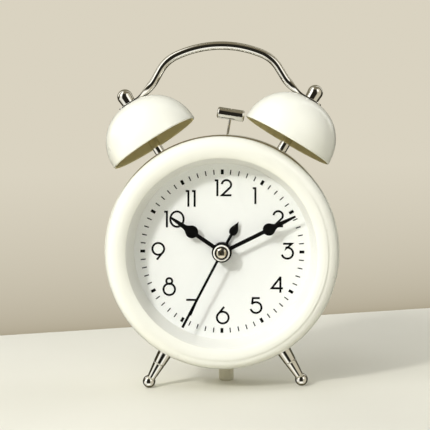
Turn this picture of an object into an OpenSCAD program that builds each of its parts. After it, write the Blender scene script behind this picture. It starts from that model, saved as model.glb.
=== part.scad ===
// Twin-bell alarm clock: a round drum case on two splayed ball-foot legs and a rear foot,
// two bells on posts, a swinging hammer between them, an arched rod handle, and a quartz
// movement with its motion work, alarm setting and battery.
// The dial faces -Y and +Z is up. The origin lies on the resting surface, under the middle
// of the width and depth. Depths named *_s are measured back from the front of the bezel.

/* [Case] */
// Outer diameter of the case drum
case_d = 91; // [88:0.2:100]
// Sheet thickness of the case drum
case_wall = 1; // [0.8:0.1:1.5]
// Depth of the case drum behind the bezel
case_depth = 27; // [27:0.5:36]
// Width of the rear edge of the drum that is turned inwards
case_flange = 4.4; // [3.6:0.2:6]
// Radius of the rounded front of the bezel
bezel_bead = 4.9; // [4.2:0.1:5.4]
// Step from the drum's edge in to the bezel
bezel_step = 0.5; // [0.2:0.1:1]
// Straight skirt of the bezel behind its rounded front
bezel_skirt = 2.6; // [2:0.1:4]
// Length of the bezel's spigot inside the drum
bezel_spigot = 2.5; // [1.5:0.1:4]
// Width of the bezel from its edge to its opening
bezel_w = 8.3; // [7.4:0.1:9]
// Width of the rim round the bezel's bead
bezel_rim = 4.1; // [3.4:0.1:4.5]
// Step from the bead back to the rim
rim_step = 0.4; // [0.2:0.05:0.6]

/* [Dial] */
// Thickness of the lens
lens_t = 1.4; // [1:0.1:2]
// How far the lens reaches past the opening
lens_lap = 2.3; // [1.8:0.1:2.6]
// Depth of the ring between lens and dial
ring_depth = 8.5; // [8.3:0.1:12]
// How much the ring narrows from the opening to the dial
ring_inset = 2.2; // [1.6:0.1:3]
// Wall of the ring
ring_wall = 1.2; // [0.8:0.1:1.8]
// Thickness of the dial
dial_t = 0.6; // [0.4:0.1:1]
// How far the dial reaches behind the ring
dial_lap = 3; // [2:0.1:4]

/* [Hands] */
// Gap from the minute hand's tip to the dial's edge
minute_gap = 2.7; // [1.4:0.1:6]
// Length of the minute hand's point beyond its round
minute_point = 11.1; // [9:0.1:13]
// Length of the hour hand
hour_len = 24; // [18:0.2:28]
// Length of the hour hand's point beyond its round
hour_point = 10.1; // [8:0.1:12]
// Gap from the second hand's tip to the dial's edge
second_gap = 1.7; // [1:0.1:6]
// Length of the alarm hand
alarm_len = 13.4; // [10:0.2:18]
// Thickness of the hands
hand_t = 0.4; // [0.3:0.05:0.6]
// Width of the hands' stems
stem_w = 1.15; // [0.8:0.05:1.6]
// Radius of the round part of the hour and minute hands
spade_r = 2.35; // [1.8:0.05:2.8]
// Diameter of the hands' hubs
hub_d = 7.5; // [6.8:0.1:9]
// Diameter of the cap over the hands
cap_d = 6.4; // [5:0.1:8]
// Depth from one hand to the next
hand_pitch = 1.75; // [1.6:0.05:1.8]
// Time that the hands show, in minutes after twelve
shown_minutes = 610.8; // [0:0.2:719]
// Seconds that the second hand shows
shown_seconds = 34.8; // [0:0.2:59.8]
// Hour that the alarm hand points at
alarm_hour = 1; // [0:0.25:11.75]

/* [Bells] */
// Outer radius of a bell at its rim
bell_r = 18.8; // [16:0.1:19]
// Height of a bell from rim to flat top
bell_h = 17.9; // [14.5:0.1:18]
// Wall of a bell
bell_wall = 1; // [0.8:0.1:1.6]
// Angle of the bell posts from the vertical
bell_angle = 31.5; // [31:0.5:36]
// Backward lean of the bells, posts and handle
bell_lean = 5; // [0:0.5:6]
// Gap from the drum to the bells' rim plane
bell_gap = 4.6; // [4:0.1:8]
// Depth of the bells' plane at the height of the clock's axis
bell_s = 17; // [16:0.5:20]
// Diameter of a bell post
post_d = 4; // [3.4:0.1:5]
// Diameter of the threaded ends of posts and legs
stud_d = 3; // [2.5:0.1:3.2]
// Diameter of a cap nut
nut_d = 6.1; // [5.4:0.1:7.5]
// Height of a cap nut
nut_h = 6.1; // [5.8:0.1:8]
// Diameter of a cap nut at its base
nut_base_d = 5.5; // [5.2:0.1:6]

/* [Handle] */
// Diameter of the handle's rod
handle_d = 3.3; // [2.6:0.1:4]
// Height of the middle of the rod above the seats of the bells
handle_rise = 23.6; // [21:0.2:32]
// Radius of the handle's top arch
arch_r = 49.5; // [40:0.5:60]
// Half angle of the top arch
arch_half = 20.5; // [18:0.5:24]
// Bend radius at the handle's shoulders
shoulder_r = 9; // [7:0.5:11]
// Slope of the handle's sides below the shoulders
side_slope = 61; // [55:0.5:66]
// Bend radius above the handle's flattened ends
ankle_r = 7; // [5:0.5:8]
// Thickness of the flattened ends
tab_t = 1; // [0.8:0.1:1.4]
// Width of the flattened ends
tab_w = 8; // [7:0.1:9]

/* [Hammer] */
// Height of the hammer's pivot above the movement
pivot_up = 10; // [9.6:0.1:11]
// Height of the hammer head above the inner ends of the rims
head_rise = 1.1; // [0.4:0.1:2]
// Gap between the hammer head and the rim of a bell
strike_gap = 0.5; // [0.4:0.1:2]
// Length of the hammer head
hammer_len = 10.8; // [8:0.1:11]
// Diameter of the hammer head
hammer_d = 4.5; // [3.5:0.1:5]
// Diameter of the hammer's wire
wire_d = 0.9; // [0.7:0.1:1.2]

/* [Feet] */
// Angle of the legs from the vertical
leg_angle = 30.4; // [24:0.1:36]
// Distance from the drum to the middle of a ball foot
leg_len = 14; // [10:0.1:18]
// Diameter of a leg at the drum
leg_top_d = 5.8; // [5:0.1:7]
// Length of a leg's sleeve above its groove
leg_sleeve = 5.3; // [4:0.1:6]
// Diameter of a leg at its groove
leg_groove_d = 4.4; // [3.8:0.1:4.8]
// Diameter of a leg above its ball
leg_neck_d = 2.9; // [2.2:0.1:3.4]
// Diameter of the ball feet
ball_d = 5; // [4.2:0.1:6]
// Depth of the legs
leg_s = 14; // [13:0.5:17]
// Depth of the rear foot
rear_foot_s = 28; // [26:0.5:28]
// Diameter of the rear foot at the floor
rear_foot_d = 6; // [5:0.2:8]

/* [Movement] */
// Height of the movement above the clock's axis
move_up = 20; // [20:0.1:20.8]
// Wall of the movement's housing
move_wall = 1.2; // [1:0.1:1.4]
// Diameter of the battery
battery_d = 14.3; // [13.5:0.1:14.4]
// Length of the battery with its button
battery_len = 50.2; // [48:0.1:50.5]
// Room for a contact at each end of the battery
contact_room = 2.7; // [2:0.1:3.2]
// Room in front of and behind the battery
bay_slack = 0.15; // [0.1:0.05:0.5]
// Room above and below the battery
bay_room = 0.85; // [0.5:0.05:1]

/* [Rear] */
// Thickness of the rear cover
cover_t = 2; // [1.6:0.1:3]
// Diameter of the setting knobs
knob_d = 12; // [9:0.2:15]
// Length of the setting knobs
knob_len = 8; // [5:0.2:11]
// Diameter of the knobs' shafts
shaft_d = 3; // [2.4:0.1:3.2]
// Distance of each setting knob from the middle
knob_x = 17.5; // [17:0.1:18]
// Travel of the alarm switch
switch_travel = 5; // [3:0.1:6]

/* [Fits] */
// Radial clearance of turning fits
run_fit = 0.06; // [0.03:0.01:0.1]
// Radial clearance of pressed fits
press_fit = 0.02; // [0.01:0.01:0.03]
// Clearance of fixed parts that slip together
slip_fit = 0.15; // [0.05:0.05:0.3]
// Clearance between parts that move past each other
free_gap = 0.4; // [0.3:0.05:0.6]

/* [Hidden] */
$fn = 64;

// Colours
cream = [0.97, 0.95, 0.88];
white = [0.99, 0.98, 0.95];
chrome = [0.75, 0.75, 0.74];
brass = [0.78, 0.62, 0.32];
black = [0.04, 0.04, 0.04];
plastic = [0.9, 0.9, 0.87];
copper = [0.72, 0.42, 0.2];

// Radii of the shells
case_r = case_d / 2;
case_in_r = case_r - case_wall;
bezel_r = case_r - bezel_step;
bezel_open_r = bezel_r - bezel_w;
lens_r = bezel_open_r + lens_lap;
dial_open_r = bezel_open_r - ring_inset;
dial_r = dial_open_r + dial_lap;
rear_open_r = case_r - case_flange;
cover_edge = 1.6;
cover_r = case_r - cover_edge;

// Margin by which cuts run past the faces that they open
cut = 1;

// Depths of the stack from the bezel's front to the knobs' ends
lip_t = 1;
crest_r = bezel_r - bezel_bead;
lip_front_s = bezel_bead - sqrt(pow(bezel_bead, 2) - pow(crest_r - bezel_open_r, 2));
lens_s = lip_front_s + lip_t;
ring_s = lens_s + lens_t;
dial_s = ring_s + ring_depth;
boss_t = 0.9;
plate_t = 1.2;
front_s = dial_s + dial_t + boss_t;
house_s = front_s + plate_t;
move_depth = move_wall + battery_d + 2 * bay_slack;
house_back_s = house_s + move_depth;
bezel_back_s = bezel_bead + bezel_skirt;
case_back_s = bezel_back_s + case_depth;
cover_back_s = case_back_s + cover_t;
knob_gap = 0.6;
knob_floor = 3;
knob_back_s = cover_back_s + knob_gap + knob_len;
total_depth = knob_back_s;

// Place of the clock's axis and of the bezel's front in the part's frame
ball_r = ball_d / 2;
ball_p = case_r + leg_len;
axis_z = ball_p * cos(leg_angle) + ball_r;
front_y = -total_depth / 2;

// Distances along a bell post from the clock's axis
rim_p = case_r + bell_gap;
seat_p = rim_p + bell_h;
tab_top_p = seat_p + tab_t;
bell_collar_t = 0.6;
bell_collar_d = 7;
collar_p = seat_p - bell_wall - bell_collar_t;
nut_stud = 3.2;
nut_bore = 3.6;

// Motion work: teeth, modules and centres in the plane of the dial
tooth_root = 0.29;
tooth_tip = 0.1;
addendum = 0.75;
dedendum = 1.1;
cannon_z = 12;
motion_z = 36;
motion_pinion_z = 10;
hour_z = 40;
motion_m = 0.5;
train_d = (cannon_z + motion_z) * motion_m / 2;
hour_m = 2 * train_d / (motion_pinion_z + hour_z);
time_c = [-knob_x, 0];
alarm_c = [knob_x, 0];
motion_c = [-knob_x / 2, sqrt(pow(train_d, 2) - pow(knob_x / 2, 2))];
alarm_z = 45;
alarm_pinion_z = 25;
alarm_m = 2 * knob_x / (alarm_z + alarm_pinion_z);

// Going train: eight-leaf pinions throughout
leaf_z = 8;
third_z = 60;
centre_z = 64;
second_z = 30;
fifth_z = 64;
third_d = 8.5;
fifth_d = 8.6;
rotor_d = 6.3;
third_c = third_d * [cos(-20), sin(-20)];
fifth_c = fifth_d * [cos(75), sin(75)];
rotor_c = fifth_c + rotor_d * [cos(120), sin(120)];
third_m = 2 * third_d / (leaf_z + third_z);
centre_m = 2 * third_d / (leaf_z + centre_z);
second_m = 2 * fifth_d / (leaf_z + second_z);
fifth_m = 2 * rotor_d / (leaf_z + fifth_z);

// Layers of the wheels, counted back from the inside of the front plate
wheel_t = 0.8;
leaf_t = 1.4;
layer_gap = 0.4;
end_shake = 0.1;
wheel_in = 0.3;
alarm_wheel_s = house_s + layer_gap;
hour_wheel_s = alarm_wheel_s + leaf_t;
cannon_s = hour_wheel_s + wheel_t + layer_gap;
mid_s = cannon_s + leaf_t + layer_gap;
mid_t = 0.8;
centre_s = mid_s + mid_t + layer_gap;
third_s = centre_s + leaf_t + layer_gap;
second_s = third_s + leaf_t + layer_gap;
fifth_s = second_s + leaf_t + layer_gap;
room_back_s = house_back_s - move_wall;

// Pipes and arbors on the clock's axis
arbor_d = 1.2;
minute_bore = arbor_d + 2 * run_fit;
minute_pipe_d = 3.2;
hour_bore = minute_pipe_d + 2 * run_fit;
hour_pipe_d = 4.6;
alarm_bore = hour_pipe_d + 2 * run_fit;
alarm_pipe_d = 6;
pivot_d = 0.9;
pipe_proud = 0.35;

// Depths of the hands' front faces
hub_t = 1.1;
hand_up = 1.5;
arbor_in = 0.5;
alarm_hand_s = dial_s - hand_up;
hour_hand_s = alarm_hand_s - hand_pitch;
minute_hand_s = hour_hand_s - hand_pitch;
second_step = 1.35;
second_hand_s = minute_hand_s - second_step;
cap_t = 0.7;
cap_s = second_hand_s - cap_t;

// Lengths of the hands that reach the minute marks
minute_len = dial_open_r - minute_gap;
second_len = dial_open_r - second_gap;

// Angles of the hands, clockwise from twelve
minute_turn = shown_minutes * 6;
hour_turn = shown_minutes / 2;
second_turn = shown_seconds * 6;
alarm_turn = alarm_hour * 30;

// Inner ends of the bells' rims, and the hammer that swings between them
rim_in_x = rim_p * sin(bell_angle) - bell_r * cos(bell_angle);
rim_in_h = rim_p * cos(bell_angle) + bell_r * sin(bell_angle);
hammer_s = bell_s + rim_in_h * sin(bell_lean);
pivot_h = move_up + pivot_up;
head_x = rim_in_x - hammer_len / 2 - strike_gap;
head_h = rim_in_h * cos(bell_lean) + head_rise - pivot_h;
hammer_arm_len = norm([head_x, head_h]);
hammer_lean = atan2(head_x, head_h);
bracket_ear = 4.2;

// Battery bay, its opening and the screws of the rear cover
room_down = alarm_m * (alarm_z / 2 + addendum) + free_gap;
room_z = -room_down;
bay_h = battery_d + 2 * bay_room;
bay_w = battery_len + 2 * contact_room;
bay_z = room_z - move_wall - bay_h / 2;
move_w = bay_w + 2 * move_wall;
move_down = room_down + bay_h + 2 * move_wall;
move_gap = 0.5;
battery_s = house_s + move_wall + bay_slack + battery_d / 2;
door_room = 1.5;
door_w = battery_len + 2 * door_room;
door_h = battery_d + door_room;
door_lip = 1;
door_t = 1.1;
screw_d = 2.4;
screw_head_d = 4.2;
screw_len = 6;
head_t = 0.9;
screw_edge = 0.15;
screw_r = rear_open_r + screw_d / 2 + screw_edge;
screw_angles = [0, 120, 240];

// Stepping motor and the housing's pillars
pillar_d = 4.6;
pillar_in = 0.6;
pillar_x = move_w / 2 - pillar_d + pillar_in;
pillar_z = move_up - pillar_d;
stator_gap = 0.2;
stator_s = third_s + stator_gap;
stator_t = 1.2;
magnet_d = 5;
magnet_proud = 0.7;
coil_gap = 3.2;
coil_x0 = pillar_d / 2 + coil_gap - pillar_x;
coil_x1 = -8.5;
coil_d = 5;
coil_proud = 0.2;
coil_z = move_up - coil_d + coil_proud;
core_w = 1.8;

// Alarm switch
switch_h = 27;
switch_w = 5;
switch_stem = 3;

// Drive of the hammer
rocker_top = 7.6;
rocker_w = 3;
rocker_t = 5;
rocker_boss = 1.9;
wire_in = 2;
wire_end = 1;
wire_gap = 0.2;
magnet_up = 4.6;
hammer_magnet_d = 2;
pin_d = 1.4;
ear_t = 1;
core_t = 3;
core_bar = 2;
bracket_t = 1;
bell_coil_z = move_up + 4.6;
bell_coil_d = 5.4;

// Lengths of studs inside the drum and of the holes drilled for them
stud_in = 4.4;
drill = 16;
foot_gap = 0.1;

// Helpers: the clock's frame, plates and turned forms whose axis runs front to back
module at_clock() translate([0, front_y, axis_z]) children();
module plate(s, t) translate([0, s + t, 0]) rotate([90, 0, 0]) linear_extrude(t) children();
module turned(outline) rotate([-90, 0, 0]) rotate_extrude() polygon(outline);
module rod(d, s, t) translate([0, s, 0]) rotate([-90, 0, 0]) cylinder(d = d, h = t);
module at(c) translate([c[0], 0, c[1]]) children();
module bar2d(a, b, w) {
  v = b - a;
  translate(a) rotate(atan2(v[1], v[0])) translate([0, -w / 2]) square([norm(v), w]);
}

// Helpers: wheels with straight-flanked teeth, and the phase that sets a wheel to its mate
function tooth_ring(z, m) = [
  for (i = [0 : z - 1])
    for (k = [[-tooth_root, -dedendum], [-tooth_tip, addendum],
      [tooth_tip, addendum], [tooth_root, -dedendum]])
      (z / 2 + k[1]) * m * [cos((i + k[0]) * 360 / z), sin((i + k[0]) * 360 / z)]
];
function wrap(a, step) = a - step * floor(a / step);
function mate(phase, z, to, dir) = dir + 180 + 180 / to + wrap(dir - phase, 360 / z) * z / to;
function heading(a, b) = atan2(b[1] - a[1], b[0] - a[0]);
module wheel(z, m, s, t, phase) plate(s, t) rotate(phase) polygon(tooth_ring(z, m));
origin2 = [0, 0];
cannon_phase = heading(origin2, motion_c);
motion_phase = mate(cannon_phase, cannon_z, motion_z, heading(origin2, motion_c));
motion_pinion_phase = heading(motion_c, origin2);
hour_phase = mate(motion_pinion_phase, motion_pinion_z, hour_z, heading(motion_c, origin2));
time_phase = mate(motion_phase, motion_z, cannon_z, heading(motion_c, time_c));
alarm_phase = heading(origin2, alarm_c);
alarm_pinion_phase = mate(alarm_phase, alarm_z, alarm_pinion_z, heading(origin2, alarm_c));
second_leaf_phase = heading(origin2, third_c);
third_phase = mate(second_leaf_phase, leaf_z, third_z, heading(origin2, third_c));
third_leaf_phase = heading(third_c, origin2);
centre_phase = mate(third_leaf_phase, leaf_z, centre_z, heading(third_c, origin2));
second_phase = heading(origin2, fifth_c);
fifth_leaf_phase = mate(second_phase, second_z, leaf_z, heading(origin2, fifth_c));
fifth_phase = heading(fifth_c, rotor_c);
rotor_phase = mate(fifth_phase, fifth_z, leaf_z, heading(fifth_c, rotor_c));

// Front ring that holds the lens, with a half-round front
module bezel() {
  color(cream) at_clock() rotate([-90, 0, 0]) rotate_extrude() difference() {
    union() {
      intersection() {
        translate([crest_r, bezel_bead]) circle(bezel_bead);
        translate([bezel_open_r, 0]) square([bezel_w - bezel_rim, bezel_bead]);
      }
      intersection() {
        translate([crest_r + rim_step, bezel_bead]) circle(bezel_bead - rim_step);
        translate([crest_r, 0]) square([bezel_bead, bezel_bead]);
      }
      translate([bezel_open_r, bezel_bead]) square([bezel_r - bezel_open_r, bezel_skirt]);
      translate([lens_r, bezel_back_s])
        square([case_in_r - slip_fit - lens_r, bezel_spigot]);
    }
    translate([0, lens_s]) square([lens_r + slip_fit, total_depth]);
  }
}

// Clear front disc with bevelled edges
module lens() {
  bevel = 0.3;
  color([0.9, 0.95, 0.95, 0.3]) at_clock() turned([[0, lens_s], [lens_r - bevel, lens_s],
    [lens_r, lens_s + bevel], [lens_r, ring_s - bevel], [lens_r - bevel, ring_s], [0, ring_s]]);
}

// Conical ring from the lens down to the dial, with a flange at each end
module dial_ring() {
  edge_gap = 0.3;
  front_r = bezel_open_r + edge_gap;
  flange_t = 1;
  color(white) at_clock() turned([[front_r, ring_s], [lens_r, ring_s],
    [lens_r, ring_s + flange_t], [front_r + ring_wall, ring_s + flange_t],
    [dial_open_r + ring_wall, dial_s - flange_t], [dial_r, dial_s - flange_t],
    [dial_r, dial_s], [dial_open_r, dial_s]]);
}

// Dial disc with its centre hole
module dial() {
  color(white) at_clock() plate(dial_s, dial_t) difference() {
    circle(dial_r);
    circle(d = alarm_pipe_d + 2 * free_gap);
  }
}

// Hole through the drum for a stud
module stud_hole() {
  translate([0, 0, case_r - drill / 2]) cylinder(d = stud_d + 2 * slip_fit, h = drill);
}

// Drum of the case, with its rear edge turned inwards and holes for posts, hammer and feet
module case() {
  edge_r = 1.6;
  slot_room = 1.2;
  slot_d = wire_d + 2 * slot_room;
  slot_w = 2 * (case_r - pivot_h + slot_room) * tan(hammer_lean) + slot_d;
  color(cream) difference() {
    at_clock() rotate([-90, 0, 0]) rotate_extrude() difference() {
      union() {
        translate([rear_open_r, bezel_back_s]) square([case_flange - edge_r, case_depth]);
        translate([rear_open_r, bezel_back_s]) square([case_flange, case_depth - edge_r]);
        translate([case_r - edge_r, case_back_s - edge_r]) circle(edge_r);
      }
      translate([0, bezel_back_s - cut]) square([case_in_r, case_depth + cut - case_wall]);
    }
    for (side = [-1, 1]) {
      at_bell(side) stud_hole();
      at_leg(side) stud_hole();
    }
    at_rear_foot() stud_hole();
    at_clock() for (a = screw_angles) at(screw_r * [sin(a), cos(a)])
      rod(screw_d + 2 * press_fit, case_back_s - screw_len, 2 * screw_len);
    at_clock() translate([0, hammer_s, case_r]) cube([slot_w, slot_d, drill], center = true);
  }
}

// Moulded rear cover with knob holes, switch slot and battery opening
module rear_cover() {
  bevel = 0.8;
  spigot_len = 3;
  spigot_t = 1.9;
  spigot_r = rear_open_r - slip_fit;
  through_s = case_back_s - cut;
  through_t = cover_t + 2 * cut;
  color(plastic) difference() {
    at_clock() union() {
      turned([[0, case_back_s], [cover_r, case_back_s], [cover_r, cover_back_s - bevel],
        [cover_r - bevel, cover_back_s], [0, cover_back_s]]);
      turned([[spigot_r - spigot_t, case_back_s - spigot_len], [spigot_r, case_back_s - spigot_len],
        [spigot_r, case_back_s], [spigot_r - spigot_t, case_back_s]]);
    }
    at_clock() {
      for (c = [time_c, alarm_c])
        at(c) rod(shaft_d + 2 * free_gap, through_s, through_t);
      at([0, bay_z]) plate(through_s, through_t)
        square([door_w - 2 * door_lip, door_h - 2 * door_lip], center = true);
      at([0, bay_z]) plate(cover_back_s - door_t, cover_t) square([door_w, door_h], center = true);
      at([switch_travel / 2, switch_h]) plate(through_s, through_t)
        square([switch_w + switch_travel + 2 * free_gap, switch_stem + 2 * free_gap], center = true);
      for (a = screw_angles) at(screw_r * [sin(a), cos(a)]) {
        rod(screw_d + 2 * slip_fit, through_s, through_t);
        rod(screw_head_d + 2 * slip_fit, cover_back_s - head_t, cover_t);
      }
    }
  }
}

// Three screws that hold the rear cover to the drum's turned edge
module cover_screws() {
  slot_w = 0.7;
  slot_len = 3;
  slot_t = 0.5;
  color(chrome) at_clock() for (a = screw_angles) at(screw_r * [sin(a), cos(a)]) difference() {
    union() {
      rod(screw_d, cover_back_s - screw_len, screw_len - head_t / 2);
      rod(screw_head_d, cover_back_s - head_t, head_t);
    }
    plate(cover_back_s - slot_t, cut) square([slot_len, slot_w], center = true);
    plate(cover_back_s - slot_t, cut) square([slot_w, slot_len], center = true);
  }
}

// Battery door, flush with the rear cover, with a thumb recess and two ribs behind
module battery_door() {
  gap = 0.2;
  seat = 0.05;
  rib_x = 16;
  rib_w = 2;
  rib_deep = 1.2;
  rib_s = case_back_s - rib_deep;
  thumb_r = 8;
  thumb_w = 12;
  thumb_deep = 0.6;
  thumb_drop = 4;
  color(plastic) at_clock() at([0, bay_z]) difference() {
    union() {
      plate(cover_back_s - door_t + seat, door_t - seat)
        square([door_w - 2 * gap, door_h - 2 * gap], center = true);
      for (x = [-1, 1]) translate([x * rib_x, 0, 0])
        plate(rib_s, cover_back_s - door_t / 2 - rib_s)
          square([rib_w, door_h - 2 * door_lip - rib_w], center = true);
    }
    translate([0, cover_back_s + thumb_r - thumb_deep, door_h / 2 - thumb_drop]) rotate([0, 90, 0])
      cylinder(r = thumb_r, h = thumb_w, center = true);
  }
}

// Cylindrical cell with its button, lying across the movement
module battery() {
  button_d = 5.4;
  button_len = 1.2;
  shoulder = 0.8;
  body = battery_len - button_len;
  color([0.25, 0.27, 0.3]) at_clock() translate([-battery_len / 2, battery_s, bay_z]) rotate([0, 90, 0])
    rotate_extrude() polygon([[0, 0], [battery_d / 2 - shoulder, 0], [battery_d / 2, shoulder],
      [battery_d / 2, body - shoulder], [battery_d / 2 - shoulder, body], [button_d / 2, body],
      [button_d / 2, battery_len], [0, battery_len]]);
}

// Bent contact leaf between the end of the bay and the end of the battery
module contact_leaf() {
  leaf_t = 0.4;
  leaf_w = 6;
  half = 5;
  tip = 1;
  fold = 0.2;
  reach = contact_room;
  translate([0, leaf_w / 2, 0]) rotate([90, 0, 0]) linear_extrude(leaf_w)
    polygon([[0, -tip], [0, tip], [leaf_t - reach, half], [-reach, half], [-reach, half - tip],
      [-leaf_t, tip - fold], [-leaf_t, fold - tip], [-reach, tip - half], [-reach, -half],
      [leaf_t - reach, -half]]);
}

// Contact that presses on the battery's button
module contact_plus() {
  color(brass) at_clock() translate([battery_len / 2, battery_s, bay_z]) mirror([1, 0, 0]) contact_leaf();
}

// Contact that presses on the battery's base
module contact_minus() {
  color(brass) at_clock() translate([-battery_len / 2, battery_s, bay_z]) contact_leaf();
}

// Outline of the movement, kept clear of the drum
module move_outline() {
  intersection() {
    translate([-move_w / 2, -move_down]) square([move_w, move_up + move_down]);
    circle(case_in_r - move_gap);
  }
}

// Front plate of the movement, with bosses that carry the dial
module movement_front() {
  boss_d = 6;
  boss_z = 14;
  color(plastic) at_clock() {
    plate(front_s, plate_t) difference() {
      move_outline();
      circle(d = alarm_pipe_d + 2 * run_fit);
    }
    for (x = [-1, 1]) for (z = [-1, 1]) at([x * (move_w / 2 - boss_d), z * boss_z])
      rod(boss_d, dial_s + dial_t, boss_t);
  }
}

// Housing of the movement: wheel room above, battery bay below, pillars and pivot holes
module movement_rear() {
  stud_proud = 0.2;
  pivot_deep = 0.8;
  through_s = room_back_s - cut;
  through_t = move_wall + 2 * cut;
  color(plastic) at_clock() difference() {
    union() {
      difference() {
        plate(house_s, move_depth) move_outline();
        plate(house_s - cut, room_back_s - house_s + cut) translate([-bay_w / 2, room_z])
          square([bay_w, move_up - move_wall - room_z]);
        plate(house_s + move_wall, move_depth) translate([-bay_w / 2, bay_z - bay_h / 2])
          square([bay_w, bay_h]);
      }
      for (x = [-1, 1]) at([x * pillar_x, pillar_z]) {
        rod(pillar_d, mid_s + mid_t, room_back_s - mid_s - mid_t);
        rod(pillar_d, house_back_s, case_back_s - house_back_s);
      }
      at(motion_c) rod(arbor_d, hour_wheel_s - stud_proud, room_back_s - hour_wheel_s + stud_proud);
    }
    rod(arbor_d + 2 * run_fit, through_s, through_t);
    for (c = [third_c, fifth_c, rotor_c]) at(c) rod(pivot_d + 2 * run_fit, through_s, cut + pivot_deep);
    for (c = [time_c, alarm_c]) at(c) rod(shaft_d + 2 * run_fit, through_s, through_t);
  }
}

// Plate between the motion work and the going train, on the housing's pillars
module middle_plate() {
  mid_w = 23;
  edge_gap = 1;
  color(plastic) at_clock() plate(mid_s, mid_t) difference() {
    union() {
      translate([-mid_w / 2, room_z + edge_gap]) square([mid_w, pillar_z - room_z - edge_gap]);
      bar2d([-pillar_x, pillar_z], [pillar_x, pillar_z], pillar_d);
      for (x = [-1, 1]) translate([x * pillar_x, pillar_z]) circle(d = pillar_d);
    }
    circle(d = minute_pipe_d + 2 * free_gap);
    translate(motion_c) circle(d = arbor_d + 2 * free_gap);
    for (c = [third_c, fifth_c, rotor_c]) translate(c) circle(d = pivot_d + 2 * run_fit);
  }
}

// Circuit board with its bonded chip and quartz can
module circuit_board() {
  board_t = 0.8;
  board_x = 10;
  board_gap = 1.8;
  board_w = move_w / 2 - move_wall - board_gap - board_x;
  board_h = 8;
  board_z = 5;
  chip_d = 4.4;
  chip_t = 0.9;
  chip_in = 4;
  can_d = 2;
  can_len = 6;
  can_out = 4;
  sink = 0.2;
  board_s = room_back_s - board_t;
  color([0.15, 0.4, 0.22]) at_clock() {
    plate(board_s, board_t) translate([board_x, board_z]) square([board_w, board_h]);
    at([board_x + chip_in, board_z + board_h / 2]) rod(chip_d, board_s - chip_t, chip_t);
    translate([board_x + board_w - can_out, board_s - can_d / 2 + sink, board_z + (board_h - can_len) / 2])
      cylinder(d = can_d, h = can_len);
  }
}

// Laminated stator: a ring round the rotor and the arm through the coil
module stator() {
  ring_r = 4.1;
  yoke_w = 2.4;
  arm_out = 1.5;
  return_w = 2;
  return_down = 2.6;
  return_z = rotor_c[1] - return_down;
  end_w = 1.6;
  end_gap = 1.2;
  end_x = coil_x0 - end_gap;
  color(chrome) at_clock() plate(stator_s, stator_t) difference() {
    union() {
      translate(rotor_c) circle(ring_r);
      bar2d(rotor_c, [coil_x1 + arm_out, coil_z], yoke_w);
      bar2d([end_x - end_w / 2, coil_z], [coil_x1 + arm_out, coil_z], core_w);
      bar2d([rotor_c[0], return_z], [end_x, return_z], return_w);
      bar2d([end_x, return_z - return_w / 2], [end_x, coil_z + core_w / 2], end_w);
    }
    translate(rotor_c) circle(d = magnet_d + 2 * free_gap);
  }
}

// A winding on its bobbin, lying across the clock, with a square hole for its core
module winding(len, d, core_h, core_d) {
  flange = 0.7;
  step = 0.8;
  along_x(len) difference() {
    union() {
      cylinder(d = d - step, h = len);
      cylinder(d = d, h = flange);
      translate([0, 0, len - flange]) cylinder(d = d, h = flange);
    }
    translate([0, 0, len / 2])
      cube([core_h + 2 * slip_fit, core_d + 2 * slip_fit, len + 2 * cut], center = true);
  }
}

// Winding on the stator's arm
module coil() {
  coil_len = coil_x1 - coil_x0;
  color(copper) at_clock() translate([(coil_x0 + coil_x1) / 2, stator_s + stator_t / 2, coil_z])
    winding(coil_len, coil_d, core_w, stator_t);
}

// Arbor of a going-train wheel between the middle plate and the rear wall
module arbor(c) {
  pivot_in = 0.5;
  at(c) rod(pivot_d, mid_s + end_shake, room_back_s + pivot_in - mid_s - end_shake);
}

// Rotor magnet with its pinion
module rotor() {
  color(chrome) at_clock() {
    arbor(rotor_c);
    at(rotor_c) {
      rod(magnet_d, stator_s - magnet_proud, stator_t + 2 * magnet_proud);
      wheel(leaf_z, fifth_m, fifth_s, leaf_t, rotor_phase);
    }
  }
}

// First reduction wheel behind the rotor
module fifth_wheel() {
  color(brass) at_clock() {
    arbor(fifth_c);
    at(fifth_c) {
      wheel(leaf_z, second_m, second_s, leaf_t, fifth_leaf_phase);
      wheel(fifth_z, fifth_m, fifth_s + wheel_in, wheel_t, fifth_phase);
    }
  }
}

// Seconds wheel, whose arbor runs forward through the pipes to the second hand
module second_wheel() {
  color(brass) at_clock() {
    rod(arbor_d, cap_s + arbor_in, room_back_s + move_wall - cap_s - arbor_in);
    wheel(leaf_z, third_m, third_s, leaf_t, second_leaf_phase);
    wheel(second_z, second_m, second_s + wheel_in, wheel_t, second_phase);
  }
}

// Third wheel between the seconds and the centre
module third_wheel() {
  color(brass) at_clock() {
    arbor(third_c);
    at(third_c) {
      wheel(leaf_z, centre_m, centre_s, leaf_t, third_leaf_phase);
      wheel(third_z, third_m, third_s + wheel_in, wheel_t, third_phase);
    }
  }
}

// Centre wheel, which drives the minute pipe through a slipping fit
module centre_wheel() {
  color(brass) at_clock() difference() {
    wheel(centre_z, centre_m, centre_s + wheel_in, wheel_t, centre_phase);
    rod(minute_pipe_d + 2 * run_fit, centre_s - cut, leaf_t + 2 * cut);
  }
}

// Minute pipe with the cannon pinion
module minute_pipe() {
  color(brass) at_clock() difference() {
    union() {
      rod(minute_pipe_d, minute_hand_s - pipe_proud, centre_s + leaf_t + pipe_proud - minute_hand_s);
      wheel(cannon_z, motion_m, cannon_s, leaf_t, cannon_phase);
    }
    rod(minute_bore, minute_hand_s - cut, centre_s + leaf_t + 2 * cut - minute_hand_s);
  }
}

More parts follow.
